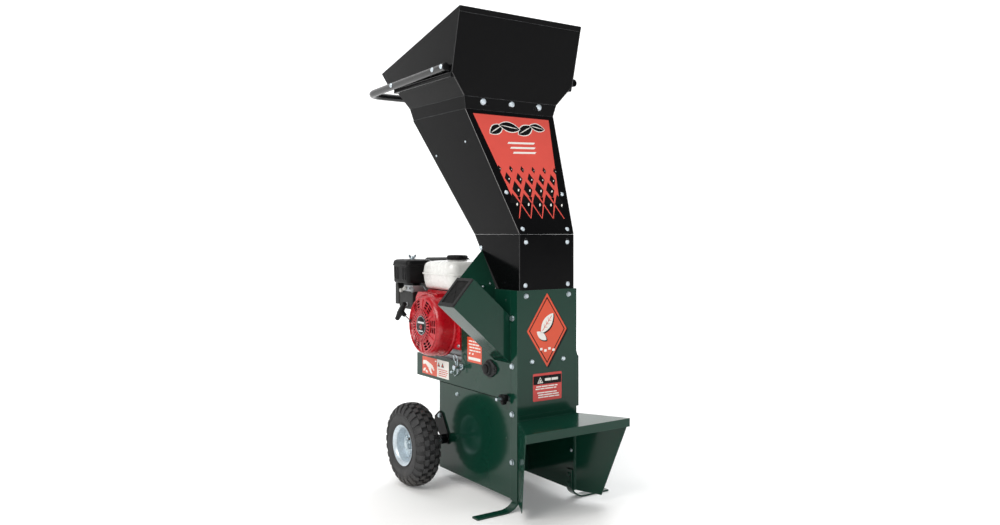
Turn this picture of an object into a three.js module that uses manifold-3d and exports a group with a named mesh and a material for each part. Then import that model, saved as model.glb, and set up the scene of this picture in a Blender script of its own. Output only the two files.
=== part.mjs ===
// Petrol wood chipper and shredder: a steel body on two wheels, a tall top hopper with a tilting handle,
// a side feed chute, a front discharge hood and a small four-stroke engine with a belt drive.
// Millimetres, +Z up. X runs across the machine, -Y is the discharge side, the engine stands at +Y.
import * as THREE from 'three';
import { mergeVertices } from 'three/addons/utils/BufferGeometryUtils.js';
import Module from 'manifold-3d';

const wasm = await Module();
wasm.setup();

// ---------- driving dimensions ----------
const GAP = 0.3;                       // between pieces that touch
const SHEET = 2.5;                     // panels, hopper and chute
const PLATE = 3;                       // side plates
const HALF_W = 109;                    // outer face of the front panel's flanges
const UPPER_X = HALF_W - SHEET - GAP;  // outer face of the upper side plates
const UPPER_IN = UPPER_X - PLATE;      // their inner face
const BASE_X = UPPER_IN - GAP;         // outer face of the base's side plates
const BASE_IN = BASE_X - PLATE;        // their inner face
const BASE_BOTTOM = 28;
const BASE_BACK = 450;
const BASE_TOP = 330;
const MOUTH_TOP = 262;                 // top of the discharge opening
const MOUTH_X = 98;                    // its half width
const BAND_LOW = 312;                  // lower edge of the upper side plates
const DECK_TOP = 388;                  // engine deck
const DECK_BACK = 598;
const HOUSING_BACK = 278;              // back of the rotor housing
const SIDE_BACK = 307;                 // back of the side plates above the deck
const BODY_TOP = 632;
const BODY_TOP_BACK = 151;

const NECK_X = 99;                     // half width of the hopper's neck below its bend
const BEND_Z = 793;
const NECK_TOP_Z = 1171;
const NECK_TOP = { x: 166, y0: 188, y1: 514 };
const COLLAR_TOP_Z = 1208;
const COLLAR_TOP = { x: 174, y0: 181, y1: 523 };
const RIM_Z = 1257;                    // underside of the funnel's rim
const RIM_H = 14;
const HEAD_X = 227;                    // half width of the hopper's head
const HEAD_BACK = 530;
const MOUTH_FRONT = { y: 121, z: 1457 };
const MOUTH_BACK = { y: 624, z: 1337 };
const MOUTH_FOLD = { y: 582, z: 1295 };

const HANDLE_R = 12;
const HANDLE_X = 241.6;
const HANDLE_BACK = 700;

const WHEEL = { x: 229, y: 402, z: 130, r: 130, half: 42 };
const AXLE_R = 8;
const HUB_HALF = 20;

const ROTOR = { y: 142, z: 392, r: 116 };
const SHAFT_R = 12;
const PULLEY_X = 128;                  // inner face of both pulleys
const PULLEY_W = 18;
const ROTOR_PULLEY_R = 62;
const ENGINE_PULLEY_R = 36;
const BELT_W = 12;
const BELT_T = 9;

const CHUTE_SLOPE = THREE.MathUtils.degToRad(41.5);
const CHUTE = { y0: 34.4, y1: 119, low: 244.1, high: 344.9, mouth: 616 };

const CRANK = { y: 427, z: 500 };
const CRANK_R = 10;

const LATCH = { y: 303, z: 375.5 };
const FUEL_CAP = { x: -70, y: 392, r: 34 };
const TAP = { y: 588, z: 556 };

// The starter's grip, and the way that its rope leaves the cowl.
const PULL = new THREE.Vector3(-0.42, 0.64, 0.64).normalize();
const GRIP = new THREE.Vector3(-197, 544, 537);
const ROPE_R = 2;

function alongPull(distance) {
  return GRIP.clone().addScaledVector(PULL, distance).toArray();
}

// ---------- colours ----------
const GREEN = { color: 0x184434, roughness: 0.3, metalness: 0.0 };
const BLACK = { color: 0x1e1f20, roughness: 0.5, metalness: 0.0 };
const ENGINE_RED = { color: 0xc81e32, roughness: 0.35, metalness: 0.0 };
const TANK_WHITE = { color: 0xeeeee8, roughness: 0.35, metalness: 0.0 };
const PLASTIC = { color: 0x282828, roughness: 0.6, metalness: 0.0 };
const RUBBER = { color: 0x2e2e2e, roughness: 0.9, metalness: 0.0 };
const ZINC = { color: 0xbecdd2, roughness: 0.35, metalness: 1.0 };
const STEEL = { color: 0x9a9a98, roughness: 0.4, metalness: 1.0 };
const IRON = { color: 0x3a3b3c, roughness: 0.6, metalness: 0.6 };
const ALLOY = { color: 0xb4b6b8, roughness: 0.5, metalness: 1.0 };
const GREY = { color: 0x8a8c8e, roughness: 0.6, metalness: 0.0 };

// ---------- solid helpers ----------
const AXES = {
  x: new THREE.Matrix4().makeBasis(
    new THREE.Vector3(0, 1, 0), new THREE.Vector3(0, 0, 1), new THREE.Vector3(1, 0, 0)),
  y: new THREE.Matrix4().makeBasis(
    new THREE.Vector3(0, 0, 1), new THREE.Vector3(1, 0, 0), new THREE.Vector3(0, 1, 0)),
  z: new THREE.Matrix4(),
};

function toManifold(geometry) {
  const bare = geometry.clone();
  bare.deleteAttribute('normal');
  bare.deleteAttribute('uv');
  const merged = mergeVertices(bare, 1e-4);
  return new wasm.Manifold(new wasm.Mesh({
    numProp: 3,
    vertProperties: new Float32Array(merged.attributes.position.array),
    triVerts: new Uint32Array(merged.index.array),
  }));
}

function toGeometry(manifold) {
  const mesh = manifold.simplify(0.002).getMesh();
  const geometry = new THREE.BufferGeometry();
  geometry.setAttribute('position', new THREE.BufferAttribute(new Float32Array(mesh.vertProperties), 3));
  geometry.setIndex(new THREE.BufferAttribute(new Uint32Array(mesh.triVerts), 1));
  geometry.computeVertexNormals();
  return geometry;
}

function union(pieces) {
  return pieces.reduce((sum, piece) => sum.add(piece));
}

function cut(body, tools) {
  return tools.reduce((left, tool) => left.subtract(tool), body);
}

function block(x0, x1, y0, y1, z0, z1) {
  const geometry = new THREE.BoxGeometry(x1 - x0, y1 - y0, z1 - z0);
  return toManifold(geometry.translate((x0 + x1) / 2, (y0 + y1) / 2, (z0 + z1) / 2));
}

// A flat outline pushed along an axis: the outline lies in YZ for x, in ZX for y and in XY for z.
function prism(axis, outline, low, high) {
  const shape = outline instanceof THREE.Shape
    ? outline
    : new THREE.Shape(outline.map(([a, b]) => new THREE.Vector2(a, b)));
  const geometry = new THREE.ExtrudeGeometry(shape, {
    depth: high - low, bevelEnabled: false, curveSegments: 12,
  });
  return toManifold(geometry.translate(0, 0, low).applyMatrix4(AXES[axis]));
}

// A turned solid: the profile is [radius, place along the axis], and starts and ends on the axis or closes.
function turned(axis, profile, centre, segments = 24) {
  const points = profile.map(([r, h]) => new THREE.Vector2(r, h));
  const geometry = new THREE.LatheGeometry(points, segments);
  geometry.rotateX(Math.PI / 2).applyMatrix4(AXES[axis]).translate(...centre);
  const solid = toManifold(geometry);
  return solid.volume() < 0 ? toManifold(flipped(geometry)) : solid;
}

function flipped(geometry) {
  const index = Array.from(geometry.index.array);
  for (let i = 0; i < index.length; i += 3) {
    [index[i], index[i + 1]] = [index[i + 1], index[i]];
  }
  geometry.setIndex(index);
  return geometry;
}

function disc(axis, centre, radius, low, high, segments = 24) {
  return turned(axis, [[0, low], [radius, low], [radius, high], [0, high]], centre, segments);
}

function ring(axis, centre, inner, outer, low, high, segments = 24) {
  const section = [[inner, low], [outer, low], [outer, high], [inner, high], [inner, low]];
  return turned(axis, section, centre, segments);
}

// A domed bolt head standing on a face, with a short root inside the sheet.
function boltHead(axis, centre, radius = 6, direction = -1) {
  const d = direction;
  const profile = [[0, -d], [radius * 0.6, -d], [radius * 0.6, 0], [radius, 0],
    [radius * 0.8, d * radius * 0.45], [0, d * radius * 0.62]];
  return turned(axis, profile, centre, 8);
}

// A bent strip of constant thickness about a line, as an outline.
function strip(line, thickness) {
  const points = line.map(([a, b]) => new THREE.Vector2(a, b));
  const left = [];
  const right = [];
  points.forEach((point, i) => {
    const before = points[Math.max(i - 1, 0)];
    const after = points[Math.min(i + 1, points.length - 1)];
    const d1 = point.clone().sub(before).normalize();
    const d2 = after.clone().sub(point).normalize();
    const along = (i === 0 ? d2 : i === points.length - 1 ? d1 : d1.clone().add(d2)).normalize();
    const normal = new THREE.Vector2(-along.y, along.x);
    const flat = i === 0 || i === points.length - 1 ? 1 : normal.dot(new THREE.Vector2(-d2.y, d2.x));
    const reach = thickness / 2 / flat;
    left.push([point.x + normal.x * reach, point.y + normal.y * reach]);
    right.push([point.x - normal.x * reach, point.y - normal.y * reach]);
  });
  return left.concat(right.reverse());
}

// A round bar or tube along a smooth line through points.
function pipe(points, radius, { inner = 0, steps = 24, sides = 12, straight = false } = {}) {
  const places = points.map((p) => new THREE.Vector3(...p));
  let path = new THREE.CatmullRomCurve3(places, false, 'centripetal');
  if (straight) {
    path = new THREE.LineCurve3(places[0], places[1]);
  }
  const shape = new THREE.Shape();
  shape.absarc(0, 0, radius, 0, Math.PI * 2, false);
  if (inner > 0) {
    const hole = new THREE.Path();
    hole.absarc(0, 0, inner, 0, Math.PI * 2, true);
    shape.holes.push(hole);
  }
  const geometry = new THREE.ExtrudeGeometry(shape, {
    steps, curveSegments: sides, extrudePath: path, bevelEnabled: false,
  });
  const solid = toManifold(geometry);
  return solid.volume() < 0 ? toManifold(flipped(indexed(geometry))) : solid;
}

function indexed(geometry) {
  const bare = geometry.clone();
  bare.deleteAttribute('normal');
  bare.deleteAttribute('uv');
  return mergeVertices(bare, 1e-4);
}

// A four-sided tapered block between two heights: each end is { x, y0, y1 }, x being the half width.
function taper(z0, low, z1, high) {
  const geometry = new THREE.BoxGeometry(2, 2, 2);
  const place = geometry.attributes.position;
  for (let i = 0; i < place.count; i += 1) {
    const end = place.getZ(i) < 0 ? low : high;
    const y = place.getY(i) < 0 ? end.y0 : end.y1;
    place.setXYZ(i, Math.sign(place.getX(i)) * end.x, y, place.getZ(i) < 0 ? z0 : z1);
  }
  return toManifold(geometry);
}

function mix(low, high, t) {
  const at = (a, b) => a + (b - a) * t;
  return { x: at(low.x, high.x), y0: at(low.y0, high.y0), y1: at(low.y1, high.y1) };
}

// The walls of a tapered duct, open at both ends.
function duct(z0, low, z1, high, wall = SHEET) {
  const shrink = (end) => ({ x: end.x - wall, y0: end.y0 + wall, y1: end.y1 - wall });
  const over = 2 / (z1 - z0);
  const inLow = shrink(mix(low, high, -over));
  const inHigh = shrink(mix(low, high, 1 + over));
  return taper(z0, low, z1, high).subtract(taper(z0 - 2, inLow, z1 + 2, inHigh));
}

// ---------- object ----------
const group = new THREE.Group();
group.name = 'wood_chipper';

function add(name, finish, manifold) {
  const mesh = new THREE.Mesh(toGeometry(manifold), new THREE.MeshStandardMaterial(finish));
  mesh.name = name;
  group.add(mesh);
}

const sides = [{ s: -1, name: 'left' }, { s: 1, name: 'right' }];
const xSpan = (s, a, b) => (s < 0 ? [-b, -a] : [a, b]);

// The base is one sheet folded round the back, with a lip along its top and bottom at the back.
function baseShell() {
  const y1 = BASE_BACK;
  const shell = block(-BASE_X, BASE_X, 2.8, y1, BASE_BOTTOM, BASE_TOP)
    .subtract(block(-BASE_IN, BASE_IN, -10, y1 - PLATE, 0, BASE_TOP + 10));
  const lip = (z) => block(-BASE_IN - 1, BASE_IN + 1, y1 - 22, y1 - 1, z, z + PLATE);
  const lips = [lip(BASE_BOTTOM), lip(BASE_TOP - PLATE)];
  const axleHole = disc('x', [0, WHEEL.y, WHEEL.z], AXLE_R + GAP, -200, 200, 24);
  add('base_shell', GREEN, cut(union([shell, ...lips]), [axleHole]));
  const inner = BASE_IN - GAP;
  const baffle = prism('x', strip([[HOUSING_BACK + 18, BASE_TOP - 4], [HOUSING_BACK, BASE_TOP - 4],
    [232, BASE_BOTTOM + 8], [250, BASE_BOTTOM + 8]], SHEET), -inner, inner);
  add('discharge_baffle', GREEN, baffle);
}

const HOUSING_OUTLINE = [[2.8, BAND_LOW], [DECK_BACK, BAND_LOW], [DECK_BACK, DECK_TOP],
  [SIDE_BACK, DECK_TOP], [SIDE_BACK, 540], [BODY_TOP_BACK, BODY_TOP], [2.8, BODY_TOP]];

function upperSides() {
  const shaftHole = disc('x', [0, ROTOR.y, ROTOR.z], 20, -200, 200, 24);
  const feedHole = block(-200, 0, CHUTE.y0 + 2.5, CHUTE.y1 - 2.5, 424, 551);
  const left = prism('x', HOUSING_OUTLINE, -UPPER_X, -UPPER_IN);
  const pinHole = disc('x', [0, LATCH.y, LATCH.z], 5.2, -200, -50, 16);
  add('upper_side_left', GREEN, cut(left, [shaftHole, feedHole, pinHole]));
  const right = prism('x', HOUSING_OUTLINE, UPPER_IN, UPPER_X);
  add('upper_side_right', GREEN, cut(right, [shaftHole]));
}

function frontPanel() {
  const face = block(-HALF_W, HALF_W, 0, SHEET, BASE_BOTTOM, BODY_TOP);
  const mouth = block(-MOUTH_X, MOUTH_X, -5, 5, BASE_BOTTOM - 5, MOUTH_TOP);
  const fold = (s) => block(...xSpan(s, UPPER_X + GAP, HALF_W), 0, 34, BASE_BOTTOM, BODY_TOP);
  const flanges = [fold(-1), fold(1)];
  const bolts = [];
  for (const { s } of sides) {
    for (const z of [137.8, 275.7, 413.6, 551.5]) {
      bolts.push(boltHead('x', [s * HALF_W, 24, z], 6.5, s));
    }
    bolts.push(boltHead('y', [s * 78, 0, 615.6], 5.5, -1));
    bolts.push(boltHead('y', [s * 57.5, 0, 425.9], 5, -1));
  }
  add('front_panel', GREEN, union([cut(face, [mouth]), ...flanges, ...bolts]));
}

function rotorHousing() {
  const inner = UPPER_IN - GAP;
  const line = [[HOUSING_BACK - 1.25, DECK_TOP - 6], [HOUSING_BACK - 1.25, 519.4],
    [BODY_TOP_BACK - 0.5, BODY_TOP - 1.25], [124.6, BODY_TOP - 1.25]];
  add('housing_back', GREEN, prism('x', strip(line, SHEET), -inner, inner));
  const deck = prism('x', strip([[HOUSING_BACK + 1.8, BASE_TOP + 8], [HOUSING_BACK + 1.8, DECK_TOP - 1.5],
    [DECK_BACK - 1.5, DECK_TOP - 1.5], [DECK_BACK - 1.5, BAND_LOW + 1]], PLATE), -inner, inner);
  add('engine_deck', GREEN, deck);
}

const NECK_LOW = { x: NECK_X, y0: 2.8, y1: 100.3 };
const NECK_BEND = { x: NECK_X, y0: 2.8, y1: 240.3 };

function hopperNeck() {
  const heads = (z, x, y) => sides.map(({ s }) => boltHead('y', [s * x, y, z], 5, -1));
  const lower = duct(600, NECK_LOW, BEND_Z, NECK_BEND);
  add('neck_lower', BLACK, union([lower, ...heads(646, 78, 2.8), ...heads(778, 76, 2.8)]));
  const upper = duct(BEND_Z + GAP, NECK_BEND, NECK_TOP_Z, NECK_TOP);
  const slope = (NECK_TOP.y0 - NECK_BEND.y0) / (NECK_TOP_Z - BEND_Z);
  const front = (z) => NECK_BEND.y0 + 0.4 + slope * (z - BEND_Z);
  const bolts = [...heads(809, 82, front(809)), ...heads(916, 100, front(916))];
  add('neck_upper', BLACK, union([upper, ...bolts]));
}

// The front face of the hopper's head is one plane from the collar to the mouth's upper edge.
function faceY(z) {
  const slope = (COLLAR_TOP.y0 - MOUTH_FRONT.y) / (MOUTH_FRONT.z - COLLAR_TOP_Z);
  return COLLAR_TOP.y0 - slope * (z - COLLAR_TOP_Z);
}

function hopperHead() {
  const bolts = [-1, 0, 1].map((i) => boltHead('y', [i * 95, 184.6, 1190], 9, -1));
  const collar = duct(NECK_TOP_Z + GAP, NECK_TOP, COLLAR_TOP_Z, COLLAR_TOP, PLATE);
  add('hopper_collar', BLACK, union([collar, ...bolts]));
  const high = { x: HEAD_X, y0: 163, y1: HEAD_BACK };
  const funnel = duct(COLLAR_TOP_Z + GAP, COLLAR_TOP, RIM_Z + RIM_H, high);
  const rim = block(-HEAD_X - 2, HEAD_X + 2, 150, HEAD_BACK + 2, RIM_Z, RIM_Z + RIM_H)
    .subtract(block(-HEAD_X + 10, HEAD_X - 10, 140, HEAD_BACK - 10, RIM_Z - 5, RIM_Z + RIM_H + 5));
  const boreTop = { x: 222, y0: 100, y1: 524 };
  const bore = taper(RIM_Z - 60, { x: 108, y0: 100, y1: 510 }, RIM_Z + RIM_H + 5, boreTop);
  const ahead = prism('x', [[0, 1180], [faceY(1180) + SHEET + GAP, 1180], [faceY(1300) + SHEET + GAP, 1300],
    [0, 1300]], -300, 300);
  add('hopper_funnel', BLACK, cut(union([funnel, cut(rim, [bore])]), [ahead]));

  const floor = RIM_Z + RIM_H + GAP;
  const outline = [[faceY(floor), floor], [HEAD_BACK, floor], [MOUTH_FOLD.y, MOUTH_FOLD.z],
    [MOUTH_BACK.y, MOUTH_BACK.z], [MOUTH_FRONT.y, MOUTH_FRONT.z]];
  const inside = [[faceY(floor - 3) + SHEET, floor - 3], [HEAD_BACK - 8.5, floor - 3],
    [MOUTH_FOLD.y - 1.8, MOUTH_FOLD.z + 2.2], [MOUTH_BACK.y + 6, MOUTH_BACK.z + 9.5],
    [faceY(MOUTH_FRONT.z + 20) + SHEET, MOUTH_FRONT.z + 20]];
  const shell = prism('x', outline, -HEAD_X, HEAD_X)
    .subtract(prism('x', inside, -HEAD_X + SHEET, HEAD_X - SHEET));
  const foot = COLLAR_TOP_Z + GAP;
  const apronOutline = [[faceY(foot), foot], [faceY(foot) + SHEET, foot],
    [faceY(floor + 2) + SHEET, floor + 2], [faceY(floor + 2), floor + 2]];
  const apron = prism('x', apronOutline, -HEAD_X, HEAD_X);
  const sweepOutline = [[foot, -COLLAR_TOP.x], [floor, -HEAD_X], [floor + 9, -HEAD_X],
    [floor + 9, HEAD_X], [floor, HEAD_X], [foot, COLLAR_TOP.x]];
  const sweep = prism('y', sweepOutline, 100, 300);
  const lip = prism('x', strip([[124.6, 1441], [120.4, 1456]], 2.6), -HEAD_X, HEAD_X);
  add('hopper_hood', BLACK, union([shell, lip, apron.intersect(sweep)]));
}

function pushHandle() {
  const z = (y) => 1287 - 0.026 * (y - 150);
  const bend = 34;
  const arm = (s) => [[s * HANDLE_X, 176, z(176)], [s * HANDLE_X, 420, z(420)],
    [s * HANDLE_X, HANDLE_BACK - 2 * bend, z(HANDLE_BACK - 2 * bend)],
    [s * (HANDLE_X - 3), HANDLE_BACK - bend, z(HANDLE_BACK - bend)],
    [s * (HANDLE_X - bend * 0.45), HANDLE_BACK - bend * 0.4, z(HANDLE_BACK - bend * 0.4)],
    [s * (HANDLE_X - bend * 1.2), HANDLE_BACK - 3, z(HANDLE_BACK)]];
  const points = [...arm(-1), [-90, HANDLE_BACK, z(HANDLE_BACK)], [90, HANDLE_BACK, z(HANDLE_BACK)],
    ...arm(1).reverse()];
  add('push_handle', BLACK, pipe(points, HANDLE_R, { inner: HANDLE_R - 2, steps: 30, sides: 5 }));
}

// The feed chute is drawn lying along X with its mouth at -X, then tilted about the Y axis.
function tilted(manifold) {
  const tilt = new THREE.Matrix4().makeRotationY(CHUTE_SLOPE);
  return manifold.transform(tilt.elements);
}

function feedChute() {
  const { y0, y1, low, high, mouth } = CHUTE;
  const outer = tilted(block(-mouth, 0, y0, y1, low, high));
  const hollow = tilted(block(-mouth - 5, 5, y0 + SHEET, y1 - SHEET, low + SHEET, high - SHEET));
  const beyond = block(-UPPER_X - GAP, 900, -100, 400, -200, 1200);
  const web = prism('y', [[637.5, -UPPER_X - GAP], [667.5, -231], [540, -UPPER_X - GAP]], y1 - SHEET, y1);
  const flange = block(-UPPER_X - GAP - SHEET, -UPPER_X - GAP, y0, y1 + 14, 440, 566);
  const tube = cut(union([outer, web, flange]), [hollow, beyond]);
  add('feed_chute', GREEN, union([tube, chuteBrace()]));

  const curtain = tilted(block(-mouth - 5, -mouth - GAP, y0, y1, low, high));
  const window = tilted(block(-mouth - 9, -mouth + 5, y0 + 19, y1 - 19, low + 17, high - 17));
  add('chute_curtain', RUBBER, cut(curtain, [window]));
}

// The sloping plate from the chute's mouth up to the neck, a thick triangle.
function chuteBrace() {
  const corners = [new THREE.Vector3(-NECK_X - GAP, 199, 746), new THREE.Vector3(-NECK_X - 5, 116.5, 636),
    new THREE.Vector3(-231, 116.5, 666)];
  const across = corners[1].clone().sub(corners[0]).normalize();
  const normal = across.clone().cross(corners[2].clone().sub(corners[0])).normalize();
  const inPlane = normal.clone().cross(across);
  const flat = corners.map((c) => {
    const v = c.clone().sub(corners[0]);
    return [v.dot(across), v.dot(inPlane)];
  });
  const shape = new THREE.Shape(flat.map(([a, b]) => new THREE.Vector2(a, b)));
  const geometry = new THREE.ExtrudeGeometry(shape, { depth: SHEET, bevelEnabled: false });
  geometry.applyMatrix4(new THREE.Matrix4().makeBasis(across, inPlane, normal));
  return toManifold(geometry.translate(corners[0].x, corners[0].y, corners[0].z))
    .subtract(block(-NECK_X - GAP, 0, 0, 400, 500, 900));
}

const DEFLECTOR = { x: 104, lipX: 186, lipY: -149, z: 260, tipX: 143, tipY: -73, tipZ: 24.5 };

function deflectorHood() {
  const d = DEFLECTOR;
  const outline = [[-d.x, 6], [-d.x, -GAP], [-d.lipX, d.lipY], [d.lipX, d.lipY], [d.x, -GAP], [d.x, 6]];
  const top = prism('z', outline, d.z - SHEET, d.z);
  const lip = block(-d.lipX, d.lipX, d.lipY, d.lipY + SHEET, d.z - 24, d.z);
  const strap = block(-d.x - 1, d.x + 1, -SHEET - GAP, 4, d.z - 1, d.z + 14);
  const walls = [];
  for (const { s } of sides) {
    const along = new THREE.Vector3(s * (d.lipX - d.x), d.lipY + GAP, 0);
    const length = along.length();
    along.normalize();
    const tip = length * (d.tipY + GAP) / (d.lipY + GAP);
    const shape = new THREE.Shape([[-8, d.z - 0.4], [-8, BASE_BOTTOM + 1], [tip, d.tipZ], [length, d.z - 0.4]]
      .map(([a, b]) => new THREE.Vector2(a, b)));
    const geometry = new THREE.ExtrudeGeometry(shape, { depth: SHEET, bevelEnabled: false });
    const up = new THREE.Vector3(0, 0, 1);
    const out = along.clone().cross(up);
    geometry.translate(0, 0, s < 0 ? 0 : -SHEET);
    geometry.applyMatrix4(new THREE.Matrix4().makeBasis(along, up, out));
    walls.push(toManifold(geometry.translate(s * d.x, -GAP, 0)));
    walls.push(block(...xSpan(s, MOUTH_X + 1, d.x + 1), -SHEET - GAP, 4, BASE_BOTTOM + 2, d.z - 1));
  }
  const behind = block(-300, 300, -GAP, 50, 0, 400);
  add('discharge_hood', GREEN, cut(union([top, lip, strap, ...walls]), [behind]));
}

function feet() {
  for (const { s, name } of sides) {
    const line = [[88, 97.1], [24, 97.1], [14.5, 103], [8.2, 122], [4.2, 146], [2.6, 166], [2.6, 240]];
    const outline = strip(line.map(([z, x]) => [z, s * x]), 5);
    add(`foot_${name}`, GREEN, prism('y', outline, 4, 33));
  }
}

function axleSet() {
  const centre = [0, WHEEL.y, WHEEL.z];
  const end = WHEEL.x + HUB_HALF;
  const bar = disc('x', centre, AXLE_R, -end - 5, end + 5);
  const washers = sides.map(({ s }) => disc('x', centre, 13, ...xSpan(s, end + 0.5, end + 3)));
  const inner = WHEEL.x - HUB_HALF;
  const stops = sides.map(({ s }) => disc('x', centre, 13, ...xSpan(s, inner - 4, inner - 0.5)));
  add('axle', ZINC, union([bar, ...washers, ...stops]));
  for (const { s, name } of sides) {
    const outline = [[388, 114], [414, 114], [474, 162], [474, 192], [446, 212], [428, 208], [388, 146]];
    const plate = prism('x', outline, ...xSpan(s, BASE_X + GAP, BASE_X + GAP + 5));
    const boss = disc('x', centre, 15, ...xSpan(s, BASE_X + 4, BASE_X + 26), 24);
    const bore = disc('x', centre, AXLE_R + GAP, -200, 200, 24);
    const bolt = boltHead('x', [s * (BASE_X + GAP + 5), 440, 198], 6, s);
    add(`axle_bracket_${name}`, IRON, union([cut(union([plate, boss]), [bore]), bolt]));
  }
}

// The tyre's section: [radius, place along the axle], outside first, then the inside, one half each.
function tyreProfile() {
  const { r, half } = WHEEL;
  const outside = [[57, -24], [57, -31], [76, -half + 0.5], [94, -half], [111, -half + 3],
    [123, -half + 13], [r, -14]];
  const inside = [[121, -14], [107, -half + 11], [90, -half + 7.5], [66, -26]];
  const mirror = (points) => points.map(([a, b]) => [a, -b]).reverse();
  return [...outside, ...mirror(outside), ...mirror(inside), ...inside, outside[0]];
}

function wheels() {
  for (const { s, name } of sides) {
    const centre = [s * WHEEL.x, WHEEL.y, WHEEL.z];
    add(`tyre_${name}`, RUBBER, turned('x', tyreProfile(), centre, 40));
    const barrel = ring('x', centre, 53.8, 56.7, -35, 35, 32);
    const lips = sides.map(({ s: f }) => turned('x', [[54, f * 31.4], [56.7, f * 31.4], [63, f * 38],
      [61, f * 40], [54, f * 34], [54, f * 31.4]], centre, 32));
    const web = turned('x', [[14, s * 8], [32, s * 8], [42, s * 2], [55, s * 2], [55, s * 5], [43, s * 5],
      [33, s * 11], [14, s * 11], [14, s * 8]], centre, 32);
    const hub = ring('x', centre, AXLE_R + 0.12, 17, -HUB_HALF, HUB_HALF);
    add(`rim_${name}`, ZINC, union([barrel, ...lips, web, hub]));
  }
}

function rotorSet() {
  const centre = [0, ROTOR.y, ROTOR.z];
  const shaft = disc('x', centre, SHAFT_R, -124, 150);
  add('rotor_shaft', STEEL, shaft);
  const bore = disc('x', centre, SHAFT_R + GAP, -200, 200);
  const plate = disc('x', centre, ROTOR.r, -82, -72, 32);
  const hub = disc('x', centre, 26, -72, 60, 24);
  const slots = [0, 1].map((i) => {
    const side = i === 0 ? 1 : -1;
    return block(-90, -60, ROTOR.y + side * 14 - 4, ROTOR.y + side * 14 + 4,
      ROTOR.z + (side > 0 ? 34 : -104), ROTOR.z + (side > 0 ? 104 : -34));
  });
  add('rotor_disc', IRON, cut(union([plate, hub]), [bore, ...slots]));
  [0, 1].forEach((i) => {
    const side = i === 0 ? 1 : -1;
    const y0 = ROTOR.y + side * 12 - (side > 0 ? 0 : 38);
    const z0 = ROTOR.z + (side > 0 ? 34 : -104);
    const profile = side > 0
      ? [[y0, -88.3], [y0 + 38, -88.3], [y0 + 38, -82.3], [y0 + 6, -82.3]]
      : [[y0, -88.3], [y0 + 38, -88.3], [y0 + 32, -82.3], [y0, -82.3]];
    const shape = profile.map(([y, x]) => [x, y]);
    add(`chip_blade_${'ab'[i]}`, STEEL, prism('z', shape, z0, z0 + 70));
  });
  const arms = [0, 1].map((i) => {
    const angle = i * Math.PI + 0.6;
    const at = (r) => [0, ROTOR.y + r * Math.cos(angle), ROTOR.z + r * Math.sin(angle)];
    return { angle, at };
  });
  const cage = union([disc('x', centre, 40, 60.3, 68, 24), ...arms.map(({ angle }) => {
    const bar = block(60.3, 68, 0, 96, -14, 14);
    const turn = new THREE.Matrix4().makeTranslation(0, ROTOR.y, ROTOR.z)
      .multiply(new THREE.Matrix4().makeRotationX(angle));
    return bar.transform(turn.elements);
  })]);
  const pins = arms.map(({ at }) => disc('x', at(84), 6, -71.7, 61, 16));
  add('flail_cage', IRON, cut(union([cage, ...pins]), [bore]));
  arms.forEach(({ at }, i) => {
    const [, y, z] = at(84);
    const set = union([-52, -18, 16].map((x) => block(x, x + 10, y - 13, y + 13, z - 29, z + 12)));
    const sleeve = disc('x', at(84), 10, -60, 50, 16);
    add(`flail_set_${'ab'[i]}`, STEEL, cut(union([set, sleeve]), [disc('x', at(84), 6 + GAP, -90, 90, 16)]));
  });
  for (const { s, name } of sides) {
    const profile = [[SHAFT_R + 0.12, GAP], [26, GAP], [26, 5], [21, 8], [19, 17], [SHAFT_R + 0.12, 17],
      [SHAFT_R + 0.12, GAP]];
    const body = turned('x', profile.map(([radius, out]) => [radius, s * (UPPER_X + out)]), centre, 32);
    add(`bearing_${name}`, IRON, body);
  }
  const knife = block(-UPPER_IN + GAP, -90, CHUTE.y0 + 4, CHUTE.y1 - 4, 408, 420);
  add('bed_knife', STEEL, knife);
}

function pulley(name, centre, radius, boreRadius) {
  const x0 = PULLEY_X;
  const x1 = PULLEY_X + PULLEY_W;
  const groove = radius - BELT_T - 1;
  const profile = [[boreRadius, x0], [radius, x0], [radius, x0 + 2], [groove, x0 + 2.4],
    [groove, x1 - 2.4], [radius, x1 - 2], [radius, x1], [boreRadius, x1], [boreRadius, x0]];
  add(name, IRON, turned('x', profile, centre, 32));
}

// The outline round two circles and their two tangents.
function loopOutline(a, b, ra, rb) {
  const shape = new THREE.Shape();
  const heading = Math.atan2(b.z - a.z, b.y - a.y);
  const spread = Math.acos((ra - rb) / Math.hypot(b.y - a.y, b.z - a.z));
  shape.absarc(a.y, a.z, ra, heading + spread, heading - spread + Math.PI * 2, false);
  shape.absarc(b.y, b.z, rb, heading - spread, heading + spread, false);
  return shape;
}

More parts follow.
